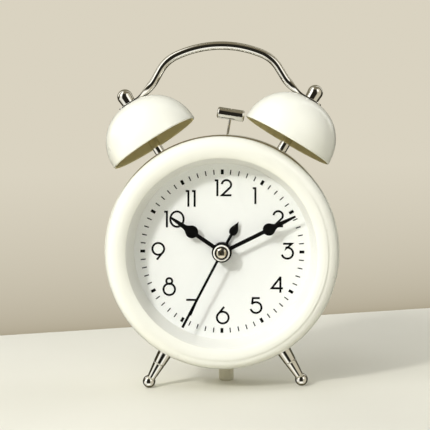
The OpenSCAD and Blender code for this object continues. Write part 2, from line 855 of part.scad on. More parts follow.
// Motion wheel and its pinion, on a stud of the housing
module motion_wheel() {
  color(brass) at_clock() at(motion_c) difference() {
    union() {
      wheel(motion_pinion_z, hour_m, hour_wheel_s - end_shake,
        cannon_s + wheel_in - hour_wheel_s + 2 * end_shake, motion_pinion_phase);
      wheel(motion_z, motion_m, cannon_s + wheel_in, wheel_t, motion_phase);
    }
    rod(arbor_d + 2 * run_fit, hour_wheel_s - cut, mid_s - hour_wheel_s + cut);
  }
}

// Hour wheel with its pipe
module hour_wheel() {
  color(brass) at_clock() difference() {
    union() {
      rod(hour_pipe_d, hour_hand_s - pipe_proud, hour_wheel_s + wheel_t + pipe_proud - hour_hand_s);
      wheel(hour_z, hour_m, hour_wheel_s, wheel_t, hour_phase);
    }
    rod(hour_bore, hour_hand_s - cut, hour_wheel_s + wheel_t + 2 * cut - hour_hand_s);
  }
}

// Time setting shaft with the pinion that turns the motion wheel
module time_set_shaft() {
  color(plastic) at_clock() at(time_c) {
    rod(shaft_d, cannon_s + leaf_t, knob_back_s - knob_floor - cannon_s - leaf_t);
    wheel(cannon_z, motion_m, cannon_s, leaf_t, time_phase);
  }
}

// Setting knob with a fluted grip
module setting_knob() {
  flutes = 20;
  flute_r = 0.55;
  flute_out = 0.15;
  neck = 1.6;
  neck_step = 1;
  dish_r = 3.6;
  dish_t = 0.6;
  base_s = cover_back_s + knob_gap;
  difference() {
    union() {
      plate(base_s + neck, knob_len - neck) difference() {
        circle(d = knob_d);
        for (i = [0 : flutes - 1]) rotate((i + 0.5) * 360 / flutes)
          translate([knob_d / 2 + flute_out, 0]) circle(r = flute_r);
      }
      rod(knob_d - 2 * neck_step, base_s, neck);
    }
    rod(shaft_d + 2 * press_fit, base_s - cut, knob_len - knob_floor + cut);
    rod(2 * dish_r, knob_back_s - dish_t, cut);
  }
}

module time_knob() { color(plastic) at_clock() at(time_c) setting_knob(); }

module alarm_knob() { color(plastic) at_clock() at(alarm_c) setting_knob(); }

// Alarm wheel with the outermost pipe
module alarm_wheel() {
  color(brass) at_clock() difference() {
    union() {
      rod(alarm_pipe_d, alarm_hand_s - pipe_proud, alarm_wheel_s + wheel_t + pipe_proud - alarm_hand_s);
      wheel(alarm_z, alarm_m, alarm_wheel_s, wheel_t, alarm_phase);
    }
    rod(alarm_bore, alarm_hand_s - cut, alarm_wheel_s + wheel_t + 2 * cut - alarm_hand_s);
  }
}

// Alarm setting shaft with its pinion
module alarm_set_shaft() {
  color(plastic) at_clock() at(alarm_c) {
    rod(shaft_d, alarm_wheel_s + wheel_t, knob_back_s - knob_floor - alarm_wheel_s - wheel_t);
    wheel(alarm_pinion_z, alarm_m, alarm_wheel_s - end_shake, wheel_t + 2 * end_shake, alarm_pinion_phase);
  }
}

// Sliding alarm switch: keeper plate inside, stem and ridged thumb piece outside
module alarm_switch() {
  keeper_t = 1;
  keeper_side = 3;
  keeper_w = switch_w + 2 * keeper_side;
  keeper_edge = 2.5;
  keeper_h = switch_stem + 2 * keeper_edge;
  gap = 0.3;
  sink = 0.1;
  thumb_t = 2.6;
  thumb_side = 0.5;
  thumb_w = switch_w + 2 * thumb_side;
  thumb_edge = 1;
  thumb_h = switch_stem + 2 * thumb_edge;
  ridge = 1.4;
  ridge_w = 0.6;
  thumb_s = cover_back_s + gap;
  color(black) at_clock() at([0, switch_h]) difference() {
    union() {
      plate(case_back_s - gap - keeper_t, keeper_t) square([keeper_w, keeper_h], center = true);
      plate(case_back_s - gap - sink, cover_t + 2 * gap + 2 * sink)
        square([switch_w, switch_stem], center = true);
      plate(thumb_s, thumb_t) square([thumb_w, thumb_h], center = true);
    }
    for (x = [-ridge, 0, ridge]) translate([x, thumb_s + thumb_t, 0])
      rotate([0, 0, 45]) cube([ridge_w, ridge_w, 2 * thumb_h], center = true);
  }
}

// Outline of an hour or minute hand: stem, round spade and tapering tip
module spade_outline(len, point) {
  tip_w = 0.6;
  neck_w = 1.85;
  neck_up = 1.9;
  side_x = 1.9;
  side_up = 1.4;
  spade_c = len - point;
  neck_c = spade_c + spade_r + neck_up;
  bar2d([0, 0], [0, spade_c], stem_w);
  translate([0, spade_c]) circle(spade_r);
  polygon([[-side_x, spade_c + side_up], [-neck_w / 2, neck_c], [-tip_w / 2, len],
    [tip_w / 2, len], [neck_w / 2, neck_c], [side_x, spade_c + side_up]]);
}

// A hand with its hub, turned clockwise from twelve
module hand(s, turn, bore, hub_t) {
  rotate([0, turn, 0]) difference() {
    union() {
      plate(s, hand_t) children();
      rod(hub_d, s, hub_t);
    }
    rod(bore + 2 * press_fit, s - cut, hub_t + 2 * cut);
  }
}

module hour_hand() {
  color(black) at_clock() hand(hour_hand_s, hour_turn, hour_pipe_d, hub_t)
    spade_outline(hour_len, hour_point);
}

module minute_hand() {
  color(black) at_clock() hand(minute_hand_s, minute_turn, minute_pipe_d, hub_t)
    spade_outline(minute_len, minute_point);
}

module second_hand() {
  tip_w = 0.6;
  root_w = 0.9;
  hub_small = 3;
  hub_deep = 0.9;
  color(black) at_clock() rotate([0, second_turn, 0]) difference() {
    union() {
      plate(second_hand_s, hand_t) polygon([[-root_w / 2, 0], [-tip_w / 2, second_len],
        [tip_w / 2, second_len], [root_w / 2, 0]]);
      rod(hub_small, second_hand_s, hub_deep);
    }
    rod(arbor_d + 2 * press_fit, second_hand_s - cut, hub_deep + 2 * cut);
  }
}

module alarm_hand() {
  alarm_stem_w = 0.95;
  drop_r = 1.6;
  drop_point = 4;
  side_x = 1.53;
  side_up = 0.46;
  drop_c = alarm_len - drop_point;
  color(black) at_clock() hand(alarm_hand_s, alarm_turn, alarm_pipe_d, hub_t) union() {
    bar2d([0, 0], [0, drop_c], alarm_stem_w);
    translate([0, drop_c]) circle(drop_r);
    polygon([[-side_x, drop_c + side_up], [0, alarm_len], [side_x, drop_c + side_up]]);
  }
}

// Turned cap over the second hand's hub, with a raised ring and a domed button
module hand_cap() {
  cap_r = cap_d / 2;
  ring_w = 0.9;
  groove_w = 0.35;
  groove_t = 0.3;
  bevel = 0.3;
  dome_r = 4.2;
  dome_up = 0.45;
  button_r = cap_r - ring_w;
  floor_s = cap_s + groove_t;
  color(brass) at_clock() difference() {
    union() {
      turned([[0, cap_s], [cap_r - bevel, cap_s], [cap_r, cap_s + bevel], [cap_r, second_hand_s],
        [0, second_hand_s]]);
      rotate([-90, 0, 0]) rotate_extrude() intersection() {
        translate([0, cap_s + dome_r - dome_up]) circle(dome_r);
        translate([0, cap_s - cut]) square([button_r, cut + groove_t]);
      }
    }
    turned([[button_r, cap_s - cut], [button_r + groove_w, cap_s - cut], [button_r + groove_w, floor_s],
      [button_r, floor_s]]);
    rod(arbor_d + 2 * press_fit, cap_s + dome_up, cut);
  }
}

// Frames of the bells and of the feet, with Z pointing away from the clock's axis
module at_top() at_clock() translate([0, bell_s, 0]) rotate([-bell_lean, 0, 0]) children();
module at_bell(side) at_top() rotate([0, side * bell_angle, 0]) children();
module at_leg(side) at_clock() translate([0, leg_s, 0]) rotate([0, side * (180 - leg_angle), 0]) children();
module at_rear_foot() at_clock() translate([0, rear_foot_s, 0]) rotate([0, 180, 0]) children();

// A bell: half a sphere with a flat seat on top and a hole for the post's stud
module bell() {
  rim = 0.25;
  translate([0, 0, rim_p]) rotate_extrude() difference() {
    intersection() {
      circle(bell_r);
      square([bell_r, bell_h]);
    }
    circle(bell_r - bell_wall);
    square([stud_d / 2 + slip_fit, 2 * bell_h]);
    translate([bell_r - rim, 0]) rotate(-45) square(rim * 2, center = true);
  }
  translate([0, 0, collar_p]) difference() {
    cylinder(d = bell_collar_d, h = seat_p - collar_p);
    translate([0, 0, -cut]) cylinder(d = stud_d + 2 * slip_fit, h = seat_p - collar_p + 2 * cut);
  }
}

module left_bell() { color(cream) at_bell(-1) bell(); }

module right_bell() { color(cream) at_bell(1) bell(); }

// A bell post with a threaded end through the drum and another through bell and handle
module post() {
  foot_p = case_r + post_d * sin(bell_lean) / 2 + foot_gap;
  translate([0, 0, foot_p]) cylinder(d = post_d, h = collar_p - foot_p);
  translate([0, 0, case_r - stud_in]) cylinder(d = stud_d, h = tab_top_p + nut_stud - case_r + stud_in);
}

module left_post() { color(chrome) at_bell(-1) post(); }

module right_post() { color(chrome) at_bell(1) post(); }

// A round-topped cap nut that narrows towards its base
module cap_nut() {
  ball_c = nut_h - nut_d / 2;
  translate([0, 0, tab_top_p]) difference() {
    union() {
      translate([0, 0, ball_c]) sphere(d = nut_d);
      cylinder(d1 = nut_base_d, d2 = nut_d, h = ball_c);
    }
    translate([0, 0, -cut]) cylinder(d = stud_d + 2 * press_fit, h = nut_bore + cut);
  }
}

module left_nut() { color(chrome) at_bell(-1) cap_nut(); }

module right_nut() { color(chrome) at_bell(1) cap_nut(); }

// A hexagon nut on a stud inside the drum
module inner_nut(lean) {
  across = 5.7;
  height = 2;
  sag = pow(across / 2, 2) / (2 * case_in_r) + across * sin(lean) / 2 + foot_gap;
  translate([0, 0, case_in_r - sag - height]) difference() {
    cylinder(d = across, h = height, $fn = 6);
    translate([0, 0, -cut]) cylinder(d = stud_d + 2 * press_fit, h = height + 2 * cut);
  }
}

module post_nuts() { color(brass) for (side = [-1, 1]) at_bell(side) inner_nut(bell_lean); }

module leg_nuts() {
  color(brass) {
    for (side = [-1, 1]) at_leg(side) inner_nut(0);
    at_rear_foot() inner_nut(0);
  }
}

// Handle: arched round rod whose ends are flattened and drilled for the posts' studs.
// The half path runs from the top of the arch out to the post: bends, straight side, flattening.
rod_r = handle_d / 2;
handle_top = seat_p * cos(bell_angle) + handle_rise;
seat_gap = 0.1;
flat_gap = 0.4;
arch_end = [arch_r * sin(arch_half), handle_top - arch_r * (1 - cos(arch_half))];
shoulder_end = arch_end
  + shoulder_r * [sin(side_slope) - sin(arch_half), cos(side_slope) - cos(arch_half)];
ankle_step = ankle_r * [sin(side_slope) - sin(bell_angle), cos(side_slope) - cos(bell_angle)];
post_dir = [sin(bell_angle), cos(bell_angle)];
tab_dir = [cos(bell_angle), -sin(bell_angle)];
tab_mid_p = seat_p + tab_t / 2;
rod_seat_p = seat_p + rod_r + seat_gap;
side_len = ((shoulder_end + ankle_step) * post_dir - rod_seat_p) / sin(side_slope - bell_angle);
side_end = shoulder_end + side_len * [cos(side_slope), -sin(side_slope)];
ankle_end = side_end + ankle_step;
flat_len = -ankle_end * tab_dir - nut_base_d / 2 - flat_gap;
flat_t = tab_t - 2 * seat_gap;
flat_w = tab_w - 2 * seat_gap - rod_r;
arch_steps = 6;
bend_steps = 6;
flat_steps = 6;
rod_sides = 16;
function ease(t) = t * t * (3 - 2 * t);
function slope_at(from, to, i, n) = from + (to - from) * i / n;
half_path = concat(
  [for (i = [0 : arch_steps]) let (a = slope_at(0, arch_half, i, arch_steps))
    [[arch_r * sin(a), handle_top - arch_r * (1 - cos(a))], a, rod_r, rod_r]],
  [for (i = [1 : bend_steps]) let (a = slope_at(arch_half, side_slope, i, bend_steps))
    [arch_end + shoulder_r * [sin(a) - sin(arch_half), cos(a) - cos(arch_half)], a, rod_r, rod_r]],
  [for (i = [0 : bend_steps]) let (a = slope_at(side_slope, bell_angle, i, bend_steps))
    [side_end + ankle_r * [sin(side_slope) - sin(a), cos(side_slope) - cos(a)], a, rod_r, rod_r]],
  [for (i = [1 : flat_steps]) let (t = i / flat_steps)
    [ankle_end + t * flat_len * tab_dir + ease(t) * (tab_mid_p - rod_seat_p) * post_dir, bell_angle,
      rod_r + (flat_t / 2 - rod_r) * ease(t), rod_r + (flat_w / 2 - rod_r) * ease(t)]]);
half_count = len(half_path);
rod_path = concat(
  [for (i = [half_count - 1 : -1 : 1]) let (p = half_path[i])
    [[-p[0][0], p[0][1]], -p[1], p[2], p[3]]],
  half_path);
rod_points = [for (p = rod_path) for (k = [0 : rod_sides - 1]) let (a = 360 * k / rod_sides)
  [p[0][0] + p[2] * cos(a) * sin(p[1]), p[3] * sin(a), p[0][1] + p[2] * cos(a) * cos(p[1])]];
rings = len(rod_path);
function ring_at(i, k) = i * rod_sides + k % rod_sides;
rod_faces = concat(
  [[for (k = [rod_sides - 1 : -1 : 0]) ring_at(0, k)],
    [for (k = [0 : rod_sides - 1]) ring_at(rings - 1, k)]],
  [for (i = [0 : rings - 2]) for (k = [0 : rod_sides - 1])
    [ring_at(i, k), ring_at(i, k + 1), ring_at(i + 1, k + 1)]],
  [for (i = [0 : rings - 2]) for (k = [0 : rod_sides - 1])
    [ring_at(i, k), ring_at(i + 1, k + 1), ring_at(i + 1, k)]]);

// Flat end of the handle round a post's stud
module handle_tab() {
  tab_root = 5.2;
  rotate([0, bell_angle, 0]) translate([0, 0, seat_p]) linear_extrude(tab_t) difference() {
    union() {
      circle(d = tab_w);
      translate([-tab_root, -flat_w / 2]) square([tab_root, flat_w]);
    }
    circle(d = stud_d + 2 * slip_fit);
  }
}

module handle() {
  color(chrome) at_top() {
    polyhedron(rod_points, rod_faces);
    handle_tab();
    mirror([1, 0, 0]) handle_tab();
  }
}

// Frame of the hammer at its pivot, leaning as it rests
module at_hammer() at_clock() translate([0, hammer_s, pivot_h]) rotate([0, hammer_lean, 0]) children();
module along_x(len) rotate([0, 90, 0]) translate([0, 0, -len / 2]) children();

// Barrel-shaped hammer head with a groove round its middle and a hole for the wire
module hammer_head() {
  half = hammer_len / 2;
  edge = 0.9;
  groove = 0.25;
  groove_w = 0.4;
  color(chrome) at_hammer() translate([0, 0, hammer_arm_len]) difference() {
    rotate([0, 90, 0]) rotate_extrude() difference() {
      union() {
        translate([0, -half + edge]) square([hammer_d / 2, hammer_len - 2 * edge]);
        translate([0, -half]) square([hammer_d / 2 - edge, hammer_len]);
        for (e = [-1, 1]) translate([hammer_d / 2 - edge, e * (half - edge)]) circle(edge);
      }
      translate([hammer_d / 2 - groove, -groove_w / 2]) square([cut, groove_w]);
      translate([-hammer_d, -hammer_len]) square([hammer_d, 2 * hammer_len]);
    }
    translate([0, 0, -hammer_d]) cylinder(d = wire_d + 2 * press_fit, h = hammer_d + wire_end);
  }
}

// Wire stem from the rocker to the head
module hammer_wire() {
  color(chrome) at_hammer() translate([0, 0, rocker_top - wire_in])
    cylinder(d = wire_d, h = hammer_arm_len + wire_end - wire_gap - rocker_top + wire_in);
}

// Moulded rocker that carries the wire and the magnet
module hammer_rocker() {
  color(plastic) at_hammer() difference() {
    union() {
      translate([0, rocker_t / 2, 0]) rotate([90, 0, 0]) linear_extrude(rocker_t) {
        circle(rocker_boss);
        translate([-rocker_w / 2, 0]) square([rocker_w, rocker_top]);
      }
    }
    translate([0, -rocker_t, 0]) rotate([-90, 0, 0]) cylinder(d = pin_d + 2 * run_fit, h = 2 * rocker_t);
    translate([0, 0, magnet_up]) along_x(2 * rocker_w)
      cylinder(d = hammer_magnet_d + 2 * press_fit, h = 2 * rocker_w);
    translate([0, 0, rocker_top - wire_in]) cylinder(d = wire_d + 2 * press_fit, h = wire_in + cut);
  }
}

// Bar magnet pressed through the rocker, between the poles of the core
module hammer_magnet() {
  proud = 0.3;
  len = rocker_w + 2 * proud;
  color([0.35, 0.35, 0.37]) at_hammer() translate([0, 0, magnet_up]) along_x(len)
    cylinder(d = hammer_magnet_d, h = len);
}

// Pivot pin between the bracket's ears
module hammer_pin() {
  proud = 0.3;
  len = 2 * (bracket_ear + ear_t + proud);
  color(chrome) at_clock() at([0, pivot_h]) rod(pin_d, hammer_s - len / 2, len);
}

// Pressed bracket on the movement, with two ears for the pin and a seat for the core
module hammer_bracket() {
  base_w = 24;
  ear_r = 3;
  half = bracket_ear + ear_t;
  color(chrome) at_clock() difference() {
    union() {
      translate([-base_w / 2, hammer_s - half, move_up]) cube([base_w, 2 * half, bracket_t]);
      for (e = [-1, 1]) plate(hammer_s + e * (bracket_ear + ear_t / 2) - ear_t / 2, ear_t) union() {
        translate([-ear_r, move_up]) square([2 * ear_r, pivot_h - move_up]);
        translate([0, pivot_h]) circle(ear_r);
      }
    }
    at([0, pivot_h]) rod(pin_d + 2 * press_fit, hammer_s - 2 * half, 4 * half);
  }
}

// Soft-iron core: a bar through the coil with two poles that face the magnet
module bell_core() {
  pole_x = 8.2;
  pole_gap = 2.4;
  pole_h = 2.8;
  pole_face = rocker_w / 2 + pole_gap;
  pole_z = pivot_h + magnet_up;
  side_x = pole_x + core_bar / 2;
  color(chrome) at_clock() plate(hammer_s - core_t / 2, core_t) union() {
    bar2d([-side_x, bell_coil_z], [side_x, bell_coil_z], core_bar);
    for (e = [-1, 1]) {
      bar2d([e * pole_x, move_up + bracket_t], [e * pole_x, pole_z + pole_h / 2], core_bar);
      bar2d([e * side_x, pole_z], [e * pole_face, pole_z], pole_h);
    }
  }
}

// Winding on the core
module bell_coil() {
  bell_coil_len = 12;
  color(copper) at_clock() translate([0, hammer_s, bell_coil_z])
    winding(bell_coil_len, bell_coil_d, core_bar, core_t);
}

// A turned leg: sleeve, groove, tapering shank, ball foot and threaded end
module leg() {
  top_p = case_r + pow(leg_top_d / 2, 2) / case_d + foot_gap / 2;
  groove_p = top_p + leg_sleeve;
  groove_w = 0.6;
  groove_in = 0.22;
  groove_out = 0.14;
  rotate_extrude() polygon([[0, top_p], [leg_top_d / 2, top_p], [leg_groove_d / 2 + groove_in, groove_p],
    [leg_groove_d / 2, groove_p + groove_w / 2], [leg_groove_d / 2 + groove_out, groove_p + groove_w],
    [leg_neck_d / 2, ball_p], [0, ball_p]]);
  translate([0, 0, ball_p]) sphere(d = ball_d);
  translate([0, 0, case_r - stud_in]) cylinder(d = stud_d, h = stud_in + cut);
}

module left_leg() { color(chrome) at_leg(-1) leg(); }

module right_leg() { color(chrome) at_leg(1) leg(); }

// Moulded rear foot with a flat sole
module rear_foot() {
  foot_r = rear_foot_d / 2;
  flange_r = foot_r + 1;
  flange_t = 1.2;
  sole = 0.5;
  top_p = case_r + pow(flange_r, 2) / case_d + foot_gap / 2;
  color(black) at_rear_foot() {
    rotate_extrude() polygon([[0, top_p], [flange_r, top_p], [flange_r, top_p + flange_t],
      [foot_r, top_p + 2 * flange_t], [foot_r, axis_z - sole], [foot_r - sole, axis_z], [0, axis_z]]);
    translate([0, 0, case_r - stud_in]) cylinder(d = stud_d, h = stud_in + cut);
  }
}

bezel();
lens();
dial_ring();
dial();
case();
rear_cover();
cover_screws();
battery_door();
battery();
contact_plus();
contact_minus();
movement_front();
movement_rear();
middle_plate();
circuit_board();
stator();
coil();
rotor();
fifth_wheel();
second_wheel();
third_wheel();
centre_wheel();
minute_pipe();
motion_wheel();
hour_wheel();
time_set_shaft();
time_knob();
alarm_wheel();
alarm_set_shaft();
alarm_knob();
alarm_switch();
hour_hand();
minute_hand();
second_hand();
alarm_hand();
hand_cap();
left_bell();
right_bell();
left_post();
right_post();
left_nut();
right_nut();
post_nuts();
handle();
hammer_head();
hammer_wire();
hammer_rocker();
hammer_magnet();
hammer_pin();
hammer_bracket();
bell_core();
bell_coil();
left_leg();
right_leg();
rear_foot();
leg_nuts();
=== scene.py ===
"""Twin-bell alarm clock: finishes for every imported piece, with a printed dial, pressed hands,
a bent handle and spun bells.
"""

import math

import bmesh
import bpy
from mathutils import Matrix, Vector


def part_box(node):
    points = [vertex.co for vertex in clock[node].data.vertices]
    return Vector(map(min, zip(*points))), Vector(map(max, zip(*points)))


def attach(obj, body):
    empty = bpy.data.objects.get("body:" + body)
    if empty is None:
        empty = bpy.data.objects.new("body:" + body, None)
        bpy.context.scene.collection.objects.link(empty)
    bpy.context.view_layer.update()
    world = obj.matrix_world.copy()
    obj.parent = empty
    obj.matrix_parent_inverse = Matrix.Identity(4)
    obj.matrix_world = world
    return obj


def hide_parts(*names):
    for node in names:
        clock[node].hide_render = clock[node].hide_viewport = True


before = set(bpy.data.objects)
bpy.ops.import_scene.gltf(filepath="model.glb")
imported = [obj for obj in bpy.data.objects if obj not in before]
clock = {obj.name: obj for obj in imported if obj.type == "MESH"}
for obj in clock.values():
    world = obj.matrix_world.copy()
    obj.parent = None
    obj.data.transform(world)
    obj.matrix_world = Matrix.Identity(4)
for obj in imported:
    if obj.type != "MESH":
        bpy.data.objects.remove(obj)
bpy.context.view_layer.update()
MM = 0.001
MICRON = 0.001 * MM

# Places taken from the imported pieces, in metres
bezel_lo, bezel_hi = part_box("bezel")
axis_z = (bezel_lo.z + bezel_hi.z) / 2
front_y = bezel_lo.y
dial_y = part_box("dial")[0].y
case_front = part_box("case")[0].y


# Sines and cosines of angles in degrees
def sind(a):
    return math.sin(math.radians(a))


def cosd(a):
    return math.cos(math.radians(a))


# Finishes: small helpers that every material is made with
def node_in(tree, kind, **settings):
    node = tree.nodes.new(kind)
    for key, value in settings.items():
        setattr(node, key, value)
    return node


def join(tree, source, target):
    tree.links.new(source, target)


def feed(tree, value, target):
    """A number or colour set on a socket, or a link from another node."""
    if isinstance(value, (int, float, tuple)):
        target.default_value = value
    else:
        join(tree, value, target)


def noise_at(tree, place, scale, detail, rough=0.5):
    noise = node_in(tree, "ShaderNodeTexNoise")
    for name, value in (("Vector", place), ("Scale", scale), ("Detail", detail), ("Roughness", rough)):
        feed(tree, value, noise.inputs[name])
    return noise.outputs["Fac"]


def span(tree, source, low, high, to_low, to_high, smooth=False):
    ramp = node_in(tree, "ShaderNodeMapRange", interpolation_type="SMOOTHSTEP" if smooth else "LINEAR")
    for name, value in (("Value", source), ("From Min", low), ("From Max", high), ("To Min", to_low),
                        ("To Max", to_high)):
        feed(tree, value, ramp.inputs[name])
    return ramp.outputs["Result"]


def rising(tree, source, low, high):
    """A soft step from 0 to 1."""
    return span(tree, source, low, high, 0.0, 1.0, True)


def falling(tree, source, low, high):
    """A soft step from 1 to 0."""
    return span(tree, source, low, high, 1.0, 0.0, True)


def figure(tree, operation, first, second=None):
    node = node_in(tree, "ShaderNodeMath", operation=operation)
    feed(tree, first, node.inputs[0])
    if second is not None:
        feed(tree, second, node.inputs[1])
    return node.outputs["Value"]


def blend_colours(tree, amount, first, second):
    node = node_in(tree, "ShaderNodeMix", data_type="RGBA")
    for name, value in (("Factor", amount), ("A", first), ("B", second)):
        feed(tree, value, [s for s in node.inputs if s.name == name and s.enabled][0])
    return [s for s in node.outputs if s.enabled][0]


def mixed(tree, amount, first, second):
    pick = node_in(tree, "ShaderNodeMixShader")
    for slot, source in enumerate((amount, first, second)):
        join(tree, source, pick.inputs[slot])
    return pick.outputs[0]


NUMBER, COLOUR = "NodeSocketFloat", "NodeSocketColor"
WHITE = (1.0, 1.0, 1.0, 1.0)
FINISH_OUTPUTS = [("Colour", COLOUR), ("Roughness", NUMBER), ("Height", NUMBER)]


def group_named(name, inputs, outputs):
    group = bpy.data.node_groups.new(name, "ShaderNodeTree")
    for title, kind, value in inputs:
        group.interface.new_socket(name=title, in_out="INPUT", socket_type=kind).default_value = value
    for title, kind in outputs:
        group.interface.new_socket(name=title, in_out="OUTPUT", socket_type=kind)
    return group, node_in(group, "NodeGroupInput"), node_in(group, "NodeGroupOutput")


def drift_colour(group, given, made, mottle, amount, second):
    """The first colour, turning to the second one where the mottle is strong."""
    share = figure(group, "MULTIPLY", mottle, given.outputs[amount])
    tone = blend_colours(group, share, given.outputs["Colour"], given.outputs[second])
    join(group, tone, made.inputs["Colour"])


def drift_gloss(group, given, made, mottle, amount):
    """The given roughness, raised or lowered by a mottle."""
    share = figure(group, "MULTIPLY", mottle, amount)
    join(group, figure(group, "ADD", share, given.outputs["Gloss"]), made.inputs["Roughness"])


def sprayed_film():
    """Sprayed paint: faint cloudy colour, slightly uneven gloss and a fine orange peel."""
    group, given, made = group_named("sprayed_film", [
        ("Colour", COLOUR, WHITE), ("Shade", COLOUR, WHITE), ("Cloud", NUMBER, 0.3), ("Gloss", NUMBER, 0.25),
        ("Gloss spread", NUMBER, 0.08), ("Peel scale", NUMBER, 900.0)], FINISH_OUTPUTS)
    place = node_in(group, "ShaderNodeTexCoord").outputs["Object"]
    cloud = rising(group, noise_at(group, place, scale=38.0, detail=3.0), 0.35, 0.7)
    drift_colour(group, given, made, cloud, "Cloud", "Shade")
    wipe = span(group, noise_at(group, place, scale=120.0, detail=4.0, rough=0.65), 0.3, 0.75, -0.5, 0.5)
    drift_gloss(group, given, made, wipe, given.outputs["Gloss spread"])
    join(group, noise_at(group, place, given.outputs["Peel scale"], detail=1.5), made.inputs["Height"])
    return group


def polish_marks():
    """Polished or turned metal: fine hairlines, a few smudges and a slightly uneven tone."""
    group, given, made = group_named("polish_marks", [
        ("Colour", COLOUR, WHITE), ("Stain", COLOUR, WHITE), ("Tarnish", NUMBER, 0.2), ("Gloss", NUMBER, 0.1),
        ("Smudge", NUMBER, 0.08), ("Hairline", NUMBER, 2600.0)], FINISH_OUTPUTS)
    place = node_in(group, "ShaderNodeTexCoord").outputs["Object"]
    patch = rising(group, noise_at(group, place, scale=90.0, detail=4.0, rough=0.6), 0.42, 0.72)
    drift_colour(group, given, made, patch, "Tarnish", "Stain")
    smear = span(group, noise_at(group, place, scale=240.0, detail=5.0, rough=0.7), 0.4, 0.8, 0.0, 1.0)
    drift_gloss(group, given, made, smear, given.outputs["Smudge"])
    stretch = node_in(group, "ShaderNodeMapping")
    stretch.inputs["Scale"].default_value = (0.12, 1.0, 1.0)
    join(group, place, stretch.inputs["Vector"])
    hairlines = noise_at(group, stretch.outputs["Vector"], given.outputs["Hairline"], detail=2.0)
    join(group, hairlines, made.inputs["Height"])
    return group


def moulded_skin():
    """Moulded plastic: a sparked tool texture with slight flow in its tone."""
    group, given, made = group_named("moulded_skin", [
        ("Colour", COLOUR, WHITE), ("Shade", COLOUR, WHITE), ("Flow", NUMBER, 0.3), ("Gloss", NUMBER, 0.4),
        ("Grain", NUMBER, 2200.0)], FINISH_OUTPUTS)
    place = node_in(group, "ShaderNodeTexCoord").outputs["Object"]
    flow = rising(group, noise_at(group, place, scale=55.0, detail=3.0), 0.35, 0.7)
    drift_colour(group, given, made, flow, "Flow", "Shade")
    pits = node_in(group, "ShaderNodeTexVoronoi")
    join(group, place, pits.inputs["Vector"])
    join(group, given.outputs["Grain"], pits.inputs["Scale"])
    spark = span(group, pits.outputs["Distance"], 0.0, 0.9, 0.0, 1.0)
    drift_gloss(group, given, made, spark, amount=0.12)
    join(group, spark, made.inputs["Height"])
    return group


def distance_mask(name, centre, scale, low, high):
    """A mask that goes from 0 to 1 with the distance from a centre; scale drops an axis where it is 0."""
    group, _, made = group_named(name, [], [("Mask", NUMBER)])
    place = node_in(group, "ShaderNodeTexCoord").outputs["Object"]
    away = node_in(group, "ShaderNodeVectorMath", operation="SUBTRACT")
    join(group, place, away.inputs[0])
    away.inputs[1].default_value = centre
    kept = node_in(group, "ShaderNodeVectorMath", operation="MULTIPLY")
    join(group, away.outputs[0], kept.inputs[0])
    kept.inputs[1].default_value = scale
    reach = node_in(group, "ShaderNodeVectorMath", operation="LENGTH")
    join(group, kept.outputs[0], reach.inputs[0])
    join(group, rising(group, reach.outputs["Value"], low, high), made.inputs["Mask"])
    return group


film, marks, skin = sprayed_film(), polish_marks(), moulded_skin()


def material_named(name):
    mat = bpy.data.materials.new(name)
    mat.use_nodes = True
    mat.node_tree.nodes.clear()
    out = node_in(mat.node_tree, "ShaderNodeOutputMaterial")
    face = node_in(mat.node_tree, "ShaderNodeBsdfPrincipled")
    join(mat.node_tree, face.outputs["BSDF"], out.inputs["Surface"])
    return mat, mat.node_tree, face


def output_of(tree):
    return [n for n in tree.nodes if n.bl_idname == "ShaderNodeOutputMaterial"][0]


def placed(tree, group, **values):
    node = node_in(tree, "ShaderNodeGroup", node_tree=group)
    for key, value in values.items():
        node.inputs[key.replace("_", " ")].default_value = value
    return node


def bump_from(tree, height, depth, face):
    bump = node_in(tree, "ShaderNodeBump")
    bump.inputs["Distance"].default_value = depth
    join(tree, height, bump.inputs["Height"])
    join(tree, bump.outputs["Normal"], face.inputs["Normal"])


def finish_from(name, group, depth, metallic=0.0, coat=0.0, coat_gloss=0.05, **values):
    """A material whose colour, gloss and relief come from one of the shared effects."""
    mat, tree, face = material_named(name)
    effect = placed(tree, group, **values)
    join(tree, effect.outputs["Colour"], face.inputs["Base Color"])
    join(tree, effect.outputs["Roughness"], face.inputs["Roughness"])
    bump_from(tree, effect.outputs["Height"], depth, face)
    face.inputs["Metallic"].default_value = metallic
    face.inputs["Coat Weight"].default_value = coat
    face.inputs["Coat Roughness"].default_value = coat_gloss
    return mat, tree, face, effect


# Cream enamel of the drum, bezel and bells
ENAMEL = dict(depth=6 * MICRON, coat=0.6, coat_gloss=0.17, Colour=(0.875, 0.872, 0.785, 1.0),
              Shade=(0.845, 0.835, 0.735, 1.0), Cloud=0.35, Gloss=0.32, Gloss_spread=0.1,
              Peel_scale=650.0)
cream_enamel = finish_from("cream_enamel", film, **ENAMEL)[0]

# Drum: the same enamel, with painted shade along the top of the seam behind the bezel
SEAM_SHADE_WIDTH = (0.7 * MM, 0.9 * MM)
SEAM_TOP = (axis_z + 16 * MM, axis_z + 36 * MM)
SEAM_SHADE_COLOUR = (0.17, 0.14, 0.075, 1.0)
case_enamel, tree, face, effect = finish_from("case_enamel", film, **ENAMEL)
unshaded = placed(tree, distance_mask("seam_unshaded", (0, case_front, 0), (0, 1, 0), *SEAM_SHADE_WIDTH))
top_half = placed(tree, distance_mask("seam_top", (0, 0, 0), (0, 0, 1), *SEAM_TOP))
# Painted shade in the seam: the band at the drum's front edge is darkened on its upper part only
near_seam = figure(tree, "SUBTRACT", 1.0, unshaded.outputs["Mask"])
seam_shade = figure(tree, "MULTIPLY", near_seam, top_half.outputs["Mask"])
join(tree, blend_colours(tree, seam_shade, effect.outputs["Colour"], SEAM_SHADE_COLOUR), face.inputs["Base Color"])
